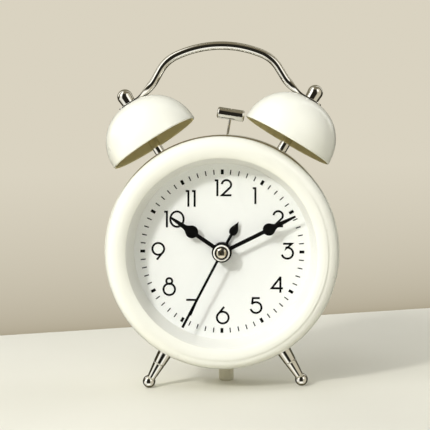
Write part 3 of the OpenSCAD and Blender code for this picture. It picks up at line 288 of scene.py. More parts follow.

# Bells: the same enamel outside, a darker olive colour inside
bell_lining = finish_from("bell_lining", film, 8 * MICRON, Colour=(0.68, 0.6, 0.32, 1.0),
                          Shade=(0.62, 0.54, 0.27, 1.0), Cloud=0.4, Gloss=0.5, Gloss_spread=0.12,
                          Peel_scale=900.0)[0]

# Bright plating, and the other metals
bright_plate = finish_from("bright_plate", marks, 0.6 * MICRON, metallic=1.0, Colour=(0.78, 0.76, 0.71, 1.0),
                           Stain=(0.66, 0.61, 0.53, 1.0), Tarnish=0.35, Gloss=0.05, Smudge=0.03)[0]
zinc_steel = finish_from("zinc_steel", marks, 2 * MICRON, metallic=1.0, Colour=(0.58, 0.58, 0.57, 1.0),
                         Stain=(0.5, 0.5, 0.49, 1.0), Tarnish=0.4, Gloss=0.4, Smudge=0.15)[0]
turned_brass = finish_from("turned_brass", marks, 2 * MICRON, metallic=1.0, Colour=(0.72, 0.53, 0.22, 1.0),
                           Stain=(0.5, 0.33, 0.12, 1.0), Tarnish=0.4, Gloss=0.2, Smudge=0.15)[0]
wound_copper = finish_from("wound_copper", marks, 40 * MICRON, metallic=1.0, Colour=(0.62, 0.27, 0.1, 1.0),
                           Stain=(0.4, 0.14, 0.05, 1.0), Tarnish=0.5, Gloss=0.3, Smudge=0.2,
                           Hairline=5200.0)[0]
cell_jacket = finish_from("cell_jacket", marks, 2 * MICRON, metallic=0.8, Colour=(0.07, 0.08, 0.1, 1.0),
                          Stain=(0.1, 0.1, 0.11, 1.0), Tarnish=0.4, Gloss=0.25, Smudge=0.15)[0]

# Paints and plastics; black is kept free of sheen, so that it stays black under the lens
BLACK_SHEEN = 0.1
hand_lacquer, _, face, _ = finish_from("hand_lacquer", film, 3 * MICRON, Colour=(0.002, 0.002, 0.002, 1.0),
                                       Shade=(0.004, 0.004, 0.004, 1.0), Cloud=0.6, Gloss=0.42,
                                       Gloss_spread=0.12, Peel_scale=1600.0)
face.inputs["Specular IOR Level"].default_value = BLACK_SHEEN
dial_enamel = finish_from("dial_enamel", film, 4 * MICRON, Colour=(0.925, 0.933, 0.91, 1.0),
                          Shade=(0.91, 0.917, 0.885, 1.0), Cloud=0.4, Gloss=0.55, Gloss_spread=0.12,
                          Peel_scale=2400.0)[0]
dial_ink, _, face, _ = finish_from("dial_ink", film, 3 * MICRON, Colour=(0.0025, 0.0025, 0.0025, 1.0),
                                   Shade=(0.005, 0.005, 0.005, 1.0), Cloud=0.6, Gloss=0.5, Gloss_spread=0.15,
                                   Peel_scale=3200.0)
face.inputs["Specular IOR Level"].default_value = BLACK_SHEEN
ring_plastic = finish_from("ring_plastic", skin, 6 * MICRON, Colour=(0.85, 0.845, 0.795, 1.0),
                           Shade=(0.83, 0.82, 0.76, 1.0), Flow=0.4, Gloss=0.42, Grain=2600.0)[0]
cover_plastic = finish_from("cover_plastic", skin, 20 * MICRON, Colour=(0.8, 0.78, 0.69, 1.0),
                            Shade=(0.77, 0.74, 0.64, 1.0), Flow=0.5, Gloss=0.42, Grain=1500.0)[0]
knob_plastic = finish_from("knob_plastic", skin, 6 * MICRON, coat=0.15, coat_gloss=0.15,
                           Colour=(0.8, 0.78, 0.68, 1.0), Shade=(0.76, 0.73, 0.62, 1.0), Flow=0.5,
                           Gloss=0.3, Grain=2400.0)[0]
switch_plastic = finish_from("switch_plastic", skin, 8 * MICRON, Colour=(0.012, 0.012, 0.012, 1.0),
                             Shade=(0.02, 0.02, 0.02, 1.0), Flow=0.5, Gloss=0.34, Grain=2400.0)[0]
foot_rubber = finish_from("foot_rubber", skin, 20 * MICRON, Colour=(0.66, 0.625, 0.48, 1.0),
                          Shade=(0.6, 0.56, 0.41, 1.0), Flow=0.6, Gloss=0.62, Grain=1800.0)[0]
movement_plastic = finish_from("movement_plastic", skin, 10 * MICRON, Colour=(0.72, 0.71, 0.66, 1.0),
                               Shade=(0.68, 0.67, 0.6, 1.0), Flow=0.5, Gloss=0.4, Grain=2000.0)[0]
board_laminate = finish_from("board_laminate", skin, 8 * MICRON, Colour=(0.02, 0.12, 0.04, 1.0),
                             Shade=(0.03, 0.16, 0.06, 1.0), Flow=0.6, Gloss=0.34, Grain=3000.0)[0]

# Hand cap: cream ring, painted shade in its fine groove, and a polished dome
CAP_GROOVE, GROOVE_SHADE = (2.42 * MM, 2.46 * MM), (0.03, 0.026, 0.02, 1.0)
CAP_RIM, RIM_CREAM = (2.62 * MM, 2.68 * MM), (0.84, 0.82, 0.76, 1.0)
hub_centre, across_hub = (0.0, 0.0, axis_z), (1, 0, 1)
cap_finish, tree, face, effect = finish_from(
    "cap_finish", marks, 1 * MICRON, metallic=1.0, Colour=(0.72, 0.65, 0.52, 1.0),
    Stain=(0.5, 0.41, 0.27, 1.0), Tarnish=0.5, Gloss=0.09, Smudge=0.08)
groove = placed(tree, distance_mask("cap_groove", hub_centre, across_hub, *CAP_GROOVE))
rim = placed(tree, distance_mask("cap_rim", hub_centre, across_hub, *CAP_RIM))
darkened = blend_colours(tree, groove.outputs["Mask"], effect.outputs["Colour"], GROOVE_SHADE)
join(tree, blend_colours(tree, rim.outputs["Mask"], darkened, RIM_CREAM), face.inputs["Base Color"])
join(tree, figure(tree, "SUBTRACT", 1.0, groove.outputs["Mask"]), face.inputs["Metallic"])

# Lens: clear, with light let through to the dial
lens_clear, tree, face = material_named("lens_clear")
face.inputs["Transmission Weight"].default_value = 1.0
face.inputs["IOR"].default_value = 1.46
face.inputs["Specular IOR Level"].default_value = 0.08
face.inputs["Base Color"].default_value = (0.985, 0.99, 0.985, 1.0)
wiped = placed(tree, marks, Gloss=0.0, Smudge=0.02)
join(tree, wiped.outputs["Roughness"], face.inputs["Roughness"])
bump_from(tree, wiped.outputs["Height"], 0.1 * MICRON, face)
rays = node_in(tree, "ShaderNodeLightPath")
clear = node_in(tree, "ShaderNodeBsdfTransparent")
passing = figure(tree, "MAXIMUM", rays.outputs["Is Shadow Ray"], rays.outputs["Is Diffuse Ray"])
let_through = mixed(tree, passing, face.outputs["BSDF"], clear.outputs["BSDF"])
join(tree, let_through, output_of(tree).inputs["Surface"])

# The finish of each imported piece
FINISHES = {
    cream_enamel: "bezel left_bell right_bell",
    case_enamel: "case",
    bright_plate: "left_post right_post left_nut right_nut handle hammer_head hammer_wire "
                  "left_leg right_leg",
    zinc_steel: "cover_screws stator rotor hammer_magnet hammer_pin hammer_bracket bell_core",
    turned_brass: "fifth_wheel second_wheel third_wheel centre_wheel minute_pipe motion_wheel "
                  "hour_wheel alarm_wheel contact_plus contact_minus post_nuts leg_nuts",
    wound_copper: "coil bell_coil",
    cell_jacket: "battery",
    hand_lacquer: "hour_hand minute_hand second_hand alarm_hand",
    dial_enamel: "dial",
    ring_plastic: "dial_ring",
    cover_plastic: "rear_cover battery_door",
    knob_plastic: "time_knob alarm_knob",
    switch_plastic: "alarm_switch",
    foot_rubber: "rear_foot",
    movement_plastic: "movement_front movement_rear middle_plate time_set_shaft alarm_set_shaft "
                      "hammer_rocker",
    board_laminate: "circuit_board",
    cap_finish: "hand_cap",
    lens_clear: "lens",
}
for mat, names in FINISHES.items():
    for name in names.split():
        surface = clock[name].data.materials
        surface.clear()
        surface.append(mat)


# New pieces: small helpers that every one of them is made with
TINY = 1e-9
SHARP_EDGE = math.radians(40)


def piece_from(name, bm, mat, body="clock"):
    bmesh.ops.recalc_face_normals(bm, faces=bm.faces)
    mesh = bpy.data.meshes.new(name)
    bm.to_mesh(mesh)
    bm.free()
    piece = bpy.data.objects.new(name, mesh)
    bpy.context.scene.collection.objects.link(piece)
    mesh.materials.append(mat)
    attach(piece, body)
    return piece


def skin_between(bm, rings, joined):
    """Faces from each ring of points to the next, and from the last to the first where they are joined."""
    faces = []
    following = rings[1:] + rings[:1] if joined else rings[1:]
    for a, b in zip(rings, following):
        for k in range(len(a)):
            n = (k + 1) % len(a)
            faces.append(bm.faces.new((a[k], a[n], b[n], b[k])))
    return faces


def sideways(behind, ahead, limit):
    """The step to one side at a corner that keeps a width even; limit holds it in at a sharp corner."""
    across = Vector((-(ahead + behind).y, (ahead + behind).x)).normalized()
    return across / max(limit, across.dot(Vector((-ahead.y, ahead.x))))


def soften(piece):
    """Smooth shading, with sharp edges left crisp."""
    for poly in piece.data.polygons:
        poly.use_smooth = True
    piece.data.set_sharp_from_angle(angle=SHARP_EDGE)


# Printed dial: strokes are thin raised bands of ink on the dial's face
INK, INK_STEP, INK_MITRE = 0.06 * MM, 0.2, 0.35
STROKE = 0.80 * MM
PRINT_TURN = 1.35
MARK_INNER, MARK_OUTER = 30.15 * MM, 32.05 * MM
HOUR_MARK, MINUTE_MARK = 1.12 * MM, 0.44 * MM


def turned_print(flat):
    """The whole print sits slightly clockwise on the dial."""
    c, s = cosd(PRINT_TURN), sind(PRINT_TURN)
    return Vector((flat.x * c + flat.y * s, flat.y * c - flat.x * s))


def ink_band(bm, path, width, lift):
    """A band of even width along a path in the plane of the dial, with square ends."""
    closed = (path[0] - path[-1]).length < TINY
    points = path[:-1] if closed else path
    count = len(points)
    rings = []
    for i, point in enumerate(points):
        before = points[i - 1] if i or closed else point
        after = points[(i + 1) % count] if i < count - 1 or closed else point
        ahead = (after - point).normalized() if (after - point).length else (point - before).normalized()
        behind = (point - before).normalized() if (point - before).length else ahead
        side = sideways(behind, ahead, INK_MITRE) * width / 2
        ring = []
        for offset, depth in ((side, lift), (-side, lift), (-side, -INK / 2), (side, -INK / 2)):
            flat = turned_print(point + offset)
            ring.append(bm.verts.new((flat.x, dial_y - depth, axis_z + flat.y)))
        rings.append(ring)
    skin_between(bm, rings, closed)
    if not closed:
        bm.faces.new(rings[0])
        bm.faces.new(rings[-1])


def arc(x, y, rx, ry, start, end, steps=40):
    turns = [math.radians(start + (end - start) * i / steps) for i in range(steps + 1)]
    return [Vector((x + rx * math.cos(t), y + ry * math.sin(t))) for t in turns]


def line(*corners):
    return [Vector(corner) for corner in corners]


def ring_path(x, y, rx, ry):
    path = arc(x, y, rx, ry, 0, 360, steps=56)
    path[-1] = path[0].copy()
    return path


# Strokes of each figure in millimetres, about the figure's middle
FIGURES = {
    "1": [line((-0.95, 2.9), (0.1, 2.9)), line((0.1, 3.26), (0.1, -3.26))],
    "2": [arc(0.0, 1.25, 1.8, 1.75, 175, -38) + line((-1.75, -2.9), (1.95, -2.9))],
    "3": [line((-1.6, 2.9), (1.75, 2.9), (-0.45, 0.98)) + arc(0.05, -0.78, 2.2, 2.15, 100, -165)],
    "4": [line((1.2, -3.26), (1.2, 3.1)), line((1.35, 3.05), (-2.2, -1.5), (2.2, -1.5))],
    "5": [line((1.5, 2.9), (-1.25, 2.9), (-1.5, 0.62)), arc(0.0, -0.85, 2.15, 2.12, 142, -165)],
    "6": [ring_path(0.0, -0.9, 2.3, 2.3), line((0.55, 3.35), (-2.0, 0.15))],
    "7": [line((-2.15, 2.9), (2.1, 2.9), (-0.55, -3.26))],
    "8": [ring_path(0.0, 2.15, 1.15, 1.15), ring_path(0.0, -1.1, 2.25, 2.25)],
    "9": [ring_path(0.0, 0.9, 2.3, 2.3), line((-0.55, -3.35), (2.0, -0.15))],
    "0": [ring_path(0.0, 0.0, 2.6, 3.0)],
}
# Each numeral's middle on the dial in millimetres, with its figures and their side shifts
NUMERALS = [
    ((0.3, 24.9), [("1", -2.3), ("2", 1.35)]), ((12.6, 21.9), [("1", 0.2)]), ((21.8, 12.9), [("2", 0.0)]),
    ((25.4, 0.3), [("3", 0.0)]), ((21.6, -12.8), [("4", 0.0)]), ((13.3, -21.1), [("5", 0.0)]),
    ((0.3, -25.1), [("6", 0.0)]), ((-11.9, -22.0), [("7", 0.0)]), ((-20.7, -13.9), [("8", 0.0)]),
    ((-25.0, 0.0), [("9", 0.0)]), ((-18.8, 12.6), [("1", -2.9), ("0", 1.15)]),
    ((-12.4, 20.7), [("1", -0.9), ("1", 1.55)]),
]


def print_numerals():
    """Each stroke lies a little higher than the one before, so that crossing strokes share no face."""
    bm = bmesh.new()
    for middle, figures in NUMERALS:
        for glyph, shift in figures:
            for order, stroke in enumerate(FIGURES[glyph]):
                path = [(Vector(middle) + point + Vector((shift, 0))) * MM for point in stroke]
                ink_band(bm, path, STROKE, INK * (1 + INK_STEP * order))
    piece_from("dial_numerals", bm, dial_ink)


def print_minute_marks():
    bm = bmesh.new()
    for minute in range(60):
        out = Vector((sind(6 * minute), cosd(6 * minute)))
        wide = MINUTE_MARK if minute % 5 else HOUR_MARK
        ink_band(bm, [out * MARK_INNER, out * MARK_OUTER], wide, INK)
    piece_from("dial_minute_marks", bm, dial_ink)


print_numerals()
print_minute_marks()

# Hands: pressed blades with eased edges on round hubs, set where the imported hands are; in millimetres
HAND_T, HAND_EASE, HUB_PROUD, EDGE_MITRE = 0.4, 0.1, 0.02, 0.4
HUB_R, HUB_T, HUB_SIDES = 3.85, 1.1, 64
SECOND_HUB_R, SECOND_HUB_T = 1.5, 0.9
SPADE_LEAVE, SPADE_STEPS = 52.0, 24
NECK_WIDE, NECK_AT, NECK_BEND = 1.75, 1.75, 0.55
TIP_WIDE, TIP_EASE, TIP_ZONE = 0.8, 0.12, 0.05


def curve(start, first, second, end, steps=12):
    """Points of a smooth bend between two places, without its first point."""
    points = []
    for i in range(1, steps + 1):
        t = i / steps
        points.append(Vector(start) * (1 - t) ** 3 + 3 * Vector(first) * t * (1 - t) ** 2
                      + 3 * Vector(second) * t * t * (1 - t) + Vector(end) * t ** 3)
    return points


def spade_blade(length, root, stem, spade_at, spade_r):
    """One side of a spade hand from the hub to the tip: stem, round spade, hollow neck and slim point."""
    half, tip = stem / 2, TIP_WIDE / 2
    start = 180 - math.degrees(math.asin(half / spade_r))
    side = [Vector((half, root))]
    for i in range(SPADE_STEPS + 1):
        a = start + (SPADE_LEAVE - start) * i / SPADE_STEPS
        side.append(Vector((spade_r * sind(a), spade_at + spade_r * cosd(a))))
    last, bend = side[-1], spade_r * NECK_BEND
    neck = Vector((NECK_WIDE / 2, spade_at + spade_r * NECK_AT))
    leaving = Vector((-cosd(SPADE_LEAVE), sind(SPADE_LEAVE)))
    side += curve(last, last + leaving * bend, neck - Vector((0, bend)), neck)
    return side + [Vector((tip, length - TIP_EASE)), Vector((tip - TIP_EASE, length))]


def drop_blade(length, root, stem, drop_at, drop_r):
    """One side of the alarm hand: stem and a leaf that comes to a point, drawn in parts of its radius."""
    half = stem / 2
    side = [Vector((half, root)), Vector((half, drop_at - drop_r * 1.15))]
    widest, point = Vector((drop_r, drop_at)), Vector((0.06, length))
    side += curve(side[-1], side[-1] + Vector((drop_r * 0.5, 0.1)),
                  widest - Vector((0, drop_r * 0.6)), widest)
    side += curve(widest, widest + Vector((0, drop_r * 0.7)),
                  Vector((drop_r * 0.42, length - drop_r * 1.2)), point)
    return side


def plain_blade(length, root, wide):
    half = wide / 2
    return [Vector((half, root)), Vector((half, length - HAND_EASE)), Vector((half - HAND_EASE, length))]


def inset(outline, amount):
    """The outline drawn in by an even amount, for an eased edge."""
    moved = []
    for i, point in enumerate(outline):
        before = (point - outline[i - 1]).normalized()
        after = (outline[(i + 1) % len(outline)] - point).normalized()
        moved.append(point + sideways(before, after, EDGE_MITRE) * amount)
    return moved


def press_hand(node, body, hub_r, hub_t, bore, blade):
    """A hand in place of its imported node; its reach, turn and depth come from that node."""
    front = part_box(node)[0].y
    spots = [(v.co.x, v.co.z - axis_z) for v in clock[node].data.vertices]
    reach = max(math.hypot(*spot) for spot in spots)
    ends = [spot for spot in spots if math.hypot(*spot) > reach - TIP_ZONE * MM]
    out = Vector((sum(x for x, _ in ends), sum(z for _, z in ends))).normalized()
    across = Vector((out.y, -out.x))
    right = blade(reach / MM, (bore + hub_r) / 2)
    outline = right + [Vector((-p.x, p.y)) for p in reversed(right)]
    bm = bmesh.new()

    def spot_at(flat, depth):
        place = (across * flat.x + out * flat.y) * MM
        return bm.verts.new((place.x, front + depth * MM, axis_z + place.y))

    layers = [[spot_at(p, HUB_PROUD) for p in inset(outline, HAND_EASE)],
              [spot_at(p, HAND_EASE) for p in outline], [spot_at(p, HAND_T) for p in outline]]
    skin_between(bm, layers, False)
    bm.faces.new(layers[0])
    bm.faces.new(list(reversed(layers[2])))
    edge = [(bore, 0.0), (hub_r - HAND_EASE, 0.0), (hub_r, HAND_EASE), (hub_r, hub_t), (bore, hub_t)]
    rings = []
    for i in range(HUB_SIDES):
        turn = 360 * i / HUB_SIDES
        rings.append([spot_at(Vector((cosd(turn), sind(turn))) * r, depth) for r, depth in edge])
    skin_between(bm, rings, True)
    hand = piece_from("pressed_" + node, bm, hand_lacquer, body)
    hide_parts(node)


press_hand("hour_hand", "hours", HUB_R, HUB_T, bore=2.32, blade=lambda reach, root: spade_blade(
    reach, root, stem=1.55, spade_at=reach - 9.9, spade_r=2.5))
press_hand("minute_hand", "minutes", HUB_R, HUB_T, bore=1.62, blade=lambda reach, root: spade_blade(
    reach, root, stem=1.5, spade_at=reach - 11.4, spade_r=2.4))
press_hand("alarm_hand", "alarm", HUB_R, HUB_T, bore=3.02, blade=lambda reach, root: drop_blade(
    reach, root, stem=1.1, drop_at=reach - 3.9, drop_r=1.62))
press_hand("second_hand", "seconds", SECOND_HUB_R, SECOND_HUB_T, bore=0.62,
           blade=lambda reach, root: plain_blade(reach, root, wide=1.0))

# Handle: bent rod with flattened, drilled ends, in millimetres about the clock's axis
ROD_R = 1.64
ARCH_R, ARCH_HALF = 42.0, 24.0
SHOULDER_R, SIDE_SLOPE = 14.0, 60.0
ANKLE_R, ANKLE_ROUND, POST_LEAN = 12.0, 0.4, 31.5
SEAT_P, TAB_T, TAB_R, HANDLE_RISE = 68.0, 1.0, 3.8, 23.0
TAB_END, TAB_CORNERS = 4.5, 5.0
TAB_START, TAB_LAP, SEAT_GAP, STUD_HOLE_R = 3.15, 0.6, 0.1, 1.65
BELL_DEPTH, BACK_LEAN = 17.0, 5.0
ROD_SIDES, ARCH_STEPS, SHOULDER_STEPS, SIDE_STEPS = 40, 28, 22, 10
ANKLE_STEPS, FLAT_STEPS, TAB_STEPS, TAB_SLICES = 16, 16, 72, 9
ROUND_POWER, PLATE_POWER = 2.0, 5.0


def lean_back(x, y, h):
    """A point of the leaning top frame in the part's frame, in metres."""
    return Vector((x * MM, front_y + (BELL_DEPTH + y * cosd(BACK_LEAN) + h * sind(BACK_LEAN)) * MM,
                   axis_z + (h * cosd(BACK_LEAN) - y * sind(BACK_LEAN)) * MM))


def on_post(side, p, u, v):
    """A point, in metres, from millimetres up a bell's post, out from the post and to the rear."""
    return lean_back(side * (p * sind(POST_LEAN) + u * cosd(POST_LEAN)), v,
                     p * cosd(POST_LEAN) - u * sind(POST_LEAN))


def half_rod():
    """Stations from the top of the arch to the flattened end: place, slope, half thickness, half width."""
    post = Vector((sind(POST_LEAN), cosd(POST_LEAN)))
    tab = Vector((cosd(POST_LEAN), -sind(POST_LEAN)))
    down = Vector((cosd(SIDE_SLOPE), -sind(SIDE_SLOPE)))
    rod_seat = SEAT_P + ROD_R + SEAT_GAP
    stations = [(Vector((0.0, SEAT_P * cosd(POST_LEAN) + HANDLE_RISE)), 0.0, ROD_R, ROD_R)]

    def bend(radius, first, last, steps, outward):
        start = stations[-1][0]
        for k in range(1, steps + 1):
            a = first + (last - first) * k / steps
            step = Vector((sind(a) - sind(first), cosd(a) - cosd(first))) * radius * outward
            stations.append((start + step, a, ROD_R, ROD_R))

    def run_straight(direction, length, slope, steps):
        start = stations[-1][0]
        for k in range(1, steps + 1):
            stations.append((start + direction * length * k / steps, slope, ROD_R, ROD_R))

    bend(ARCH_R, 0.0, ARCH_HALF, ARCH_STEPS, 1)
    bend(SHOULDER_R, ARCH_HALF, SIDE_SLOPE, SHOULDER_STEPS, 1)
    ankle_step = Vector((sind(SIDE_SLOPE) - sind(POST_LEAN), cosd(SIDE_SLOPE) - cosd(POST_LEAN))) * ANKLE_R
    side_len = ((stations[-1][0] + ankle_step).dot(post) - rod_seat) / sind(SIDE_SLOPE - POST_LEAN)
    run_straight(down, side_len, SIDE_SLOPE, SIDE_STEPS)
    rounded = len(stations)
    bend(ANKLE_R, SIDE_SLOPE, POST_LEAN, ANKLE_STEPS, -1)
    flat_len = -stations[-1][0].dot(tab) - TAB_START
    run_straight(tab, flat_len, POST_LEAN, FLAT_STEPS)
    ankle_len = ANKLE_R * math.radians(SIDE_SLOPE - POST_LEAN)
    start, total = ANKLE_ROUND * ankle_len, (1 - ANKLE_ROUND) * ankle_len + flat_len
    for k in range(rounded, len(stations)):
        step = k - rounded + 1
        on_ankle, on_flat = min(step, ANKLE_STEPS), max(0, step - ANKLE_STEPS)
        run = ankle_len * on_ankle / ANKLE_STEPS + flat_len * on_flat / FLAT_STEPS
        t = max(0.0, run - start) / total
        ease = t * t * (3 - 2 * t)
        place, slope = stations[k][:2]
        thick, wide = ROD_R + (TAB_T / 2 - ROD_R) * ease, ROD_R + (TAB_R - ROD_R) * ease
        sunk = Vector((sind(slope), cosd(slope))) * (ROD_R - thick + SEAT_GAP * ease)
        stations[k] = (place - sunk, slope, thick, wide)
    return stations


def section_power(thick, wide):
    """Power of the section's outline: 1 draws it round, and less draws a plate with eased edges."""
    return 2.0 / (ROUND_POWER + PLATE_POWER * max(0.0, 1 - thick / wide))


def rod_section(turn, thick, wide):
    c, s = math.cos(turn), math.sin(turn)
    power = section_power(thick, wide)
    return thick * math.copysign(abs(c) ** power, c), wide * math.copysign(abs(s) ** power, s)


def drilled_tab(bm, side):
    """Flattened end with straight sides, eased corners and a stud hole; edges eased as the rod's are."""
    power = section_power(TAB_T / 2, TAB_R)
    rings = []
    for i in range(TAB_STEPS):
        turn = 2 * math.pi * i / TAB_STEPS
        c, s = math.cos(turn), math.sin(turn)
        if c >= 0:
            reach = ((c / TAB_END) ** TAB_CORNERS + abs(s / TAB_R) ** TAB_CORNERS) ** (-1 / TAB_CORNERS)
        else:
            reach = min(TAB_R / max(abs(s), TINY), (TAB_START + TAB_LAP) / -c)
        ring = []
        for k in range(-TAB_SLICES, TAB_SLICES + 1):
            tip = math.pi / 2 * k / TAB_SLICES
            lift = math.copysign(abs(math.sin(tip)) ** power, k)
            radius = STUD_HOLE_R + (reach - STUD_HOLE_R) * max(0.0, math.cos(tip)) ** power
            height = SEAT_P + TAB_T / 2 * (1 + lift)
            ring.append(bm.verts.new(on_post(side, height, radius * c, radius * s)))
        rings.append(ring)
    skin_between(bm, rings, True)


def bend_handle():
    bm = bmesh.new()
    half = half_rod()
    path = [(Vector((-p.x, p.y)), -a, t, w) for p, a, t, w in reversed(half[1:])] + half
    rings = []
    for place, slope, thick, wide in path:
        ring = []
        for k in range(ROD_SIDES):
            up, side = rod_section(2 * math.pi * k / ROD_SIDES, thick, wide)
            spot = lean_back(place.x + up * sind(slope), side, place.y + up * cosd(slope))
            ring.append(bm.verts.new(spot))
        rings.append(ring)
    skin_between(bm, rings, False)
    bm.faces.new(rings[0])
    bm.faces.new(list(reversed(rings[-1])))
    for side in (-1, 1):
        drilled_tab(bm, side)
    handle = piece_from("handle_rod", bm, bright_plate)
    soften(handle)
    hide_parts("handle")


bend_handle()

# Bells: spun domes with full shoulders, a flat seat, a rolled rim and a collar inside
BELL_R, BELL_H, BELL_WALL, BELL_FULL = 18.8, 17.9, 1.0, 2.18
COLLAR_R, COLLAR_T = 3.5, 0.6
BELL_SIDES, RIM_STEPS = 128, 5


def dome_side(radius, top, rim, steps=30):
    """The side of a dome from its flat top to its rim, fuller than a ball where BELL_FULL is more than 2."""
    power = 2 / BELL_FULL
    first = math.asin((top / radius) ** (1 / power))
    last = math.asin((rim / radius) ** (1 / power))
    turns = [first + (last - first) * i / steps for i in range(steps + 1)]
    return [(radius * math.cos(t) ** power, radius * math.sin(t) ** power) for t in turns]


def spin_bell(node, side):
    """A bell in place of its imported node: enamel outside, lining from the rim's inner half inwards."""
    rim = BELL_WALL / 2
    turns = [90 * i / RIM_STEPS for i in range(1, RIM_STEPS + 1)]
    outside = [(STUD_HOLE_R, BELL_H)] + dome_side(BELL_R, BELL_H, rim)
    outside += [(BELL_R - rim + rim * cosd(a), rim - rim * sind(a)) for a in turns]
    inside = [(BELL_R - rim - rim * sind(a), rim - rim * cosd(a)) for a in turns[:-1]]
    floor_h = BELL_H - BELL_WALL
    inside += reversed(dome_side(BELL_R - BELL_WALL, floor_h, rim))
    inside += [(COLLAR_R, floor_h), (COLLAR_R, floor_h - COLLAR_T), (STUD_HOLE_R, floor_h - COLLAR_T)]
    profile = outside + inside
    bm = bmesh.new()
    rings = []
    for i in range(BELL_SIDES):
        c, s = cosd(360 * i / BELL_SIDES), sind(360 * i / BELL_SIDES)
        rings.append([bm.verts.new(on_post(side, SEAT_P - BELL_H + h, r * c, r * s)) for r, h in profile])
    for i, facet in enumerate(skin_between(bm, rings, True)):
        facet.material_index = 1 if i % len(profile) >= len(outside) - 1 else 0
    bell = piece_from("spun_" + node, bm, cream_enamel)
    bell.data.materials.append(bell_lining)
    soften(bell)
    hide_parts(node)


spin_bell("left_bell", -1)
spin_bell("right_bell", 1)

# Stage: a pale floor, and a pale wall that is clear from behind so that the rear can be seen
STAGE_REACH = 2.5
WALL_MIDDLE, WALL_TURN = Vector((0, 160.6 * MM, 0)), 17.8
WALL_HIGH, WALL_LOW = (0.70, 0.651, 0.533, 1.0), (0.40, 0.35, 0.25, 1.0)
WALL_FADE, FADE_POWER = 80 * MM, 0.45
FLOOR_COLOUR, FLOOR_PALE = (0.71, 0.695, 0.61, 1.0), (0.74, 0.725, 0.645, 1.0)

# Painted reflection: the wall as polished metal shows it, dark low down, a bright pane on each side higher
# up; in metres
MIRRORED_SKIRTING, MIRRORED_WALL = (0.05, 0.044, 0.026, 1.0), (0.26, 0.24, 0.17, 1.0)
MIRRORED_PANE = (1.5, 1.48, 1.4, 1.0)
SKIRTING_TOP = (0.11, 0.17)
PANE_START, PANE_END = (0.19, 0.21), (0.3, 0.34)


def stage_sheet(name, corners, mat):
    mesh = bpy.data.meshes.new(name)
    mesh.from_pydata(corners, [], [(0, 1, 2, 3)])
    sheet = bpy.data.objects.new(name, mesh)
    bpy.context.scene.collection.objects.link(sheet)
    mesh.materials.append(mat)
    return sheet


def glow(tree, colour):
    light = node_in(tree, "ShaderNodeEmission")
    join(tree, colour, light.inputs["Color"])
    return light.outputs[0]


def floor_finish():
    mat, tree, face = material_named("floor_pale")
    place = node_in(tree, "ShaderNodeTexCoord").outputs["Object"]
    wash = rising(tree, noise_at(tree, place, scale=6.0, detail=3.0), 0.3, 0.7)
    join(tree, blend_colours(tree, wash, FLOOR_COLOUR, FLOOR_PALE), face.inputs["Base Color"])
    face.inputs["Roughness"].default_value = 0.75
    face.inputs["Specular IOR Level"].default_value = 0.15
    return mat


def wall_finish():
    """Pale glowing wall with painted shade towards the floor; it throws no shadow and takes none."""
    mat = bpy.data.materials.new("wall_pale")
    mat.use_nodes = True
    tree = mat.node_tree
    tree.nodes.clear()
    out = node_in(tree, "ShaderNodeOutputMaterial")
    way = node_in(tree, "ShaderNodeSeparateXYZ")
    join(tree, node_in(tree, "ShaderNodeTexCoord").outputs["Object"], way.inputs[0])
    height, aside = way.outputs["Z"], figure(tree, "ABSOLUTE", way.outputs["X"])
    rise = figure(tree, "POWER", span(tree, height, 0.0, WALL_FADE, 0.0, 1.0), FADE_POWER)
    pale = glow(tree, blend_colours(tree, rise, WALL_LOW, WALL_HIGH))
    upper = rising(tree, height, *SKIRTING_TOP)
    shade = blend_colours(tree, upper, MIRRORED_SKIRTING, MIRRORED_WALL)
    pane = figure(tree, "MULTIPLY", rising(tree, aside, *PANE_START), falling(tree, aside, *PANE_END))
    pane = figure(tree, "MULTIPLY", pane, upper)
    mirrored = glow(tree, blend_colours(tree, pane, shade, MIRRORED_PANE))
    rays = node_in(tree, "ShaderNodeLightPath")
    front = mixed(tree, rays.outputs["Is Glossy Ray"], pale, mirrored)
    back = node_in(tree, "ShaderNodeNewGeometry").outputs["Backfacing"]
    clear = node_in(tree, "ShaderNodeBsdfTransparent").outputs[0]
    unseen = figure(tree, "MAXIMUM", rays.outputs["Is Shadow Ray"], rays.outputs["Is Diffuse Ray"])
    join(tree, mixed(tree, figure(tree, "MAXIMUM", back, unseen), front, clear), out.inputs["Surface"])
    return mat


corners = [(x * STAGE_REACH, y * STAGE_REACH, 0) for x, y in ((-1, -1), (1, -1), (1, 1), (-1, 1))]
floor = stage_sheet("floor", corners, floor_finish())
floor.visible_glossy = False
floor.visible_transmission = False
along = Vector((cosd(WALL_TURN), sind(WALL_TURN), 0)) * STAGE_REACH
upwards = Vector((0, 0, STAGE_REACH))
stage_sheet("wall", [WALL_MIDDLE - along, WALL_MIDDLE + along, WALL_MIDDLE + along + upwards,
                     WALL_MIDDLE - along + upwards], wall_finish())

# Light: a small key from the upper left, a broad soft window on the same side, a fill from the right
# and a window for the rear
PALE_LIGHT, WINDOW_LIGHT = (1.0, 1.0, 0.98), (1.0, 1.0, 0.985)
dial_middle = Vector((0, dial_y, axis_z))


def lamp(name, towards, away, size, power, colour):
    """A round soft lamp that faces the dial and isn't mirrored in the metal."""
    data = bpy.data.lights.new(name, "AREA")
    data.shape = "DISK"
    data.size = size
    data.energy = power
    data.color = colour
    item = bpy.data.objects.new(name, data)
    bpy.context.scene.collection.objects.link(item)
    direction = Vector(towards).normalized()
    item.location = dial_middle + direction * away
    item.rotation_euler = direction.to_track_quat("Z", "Y").to_euler()
    item.visible_glossy = False


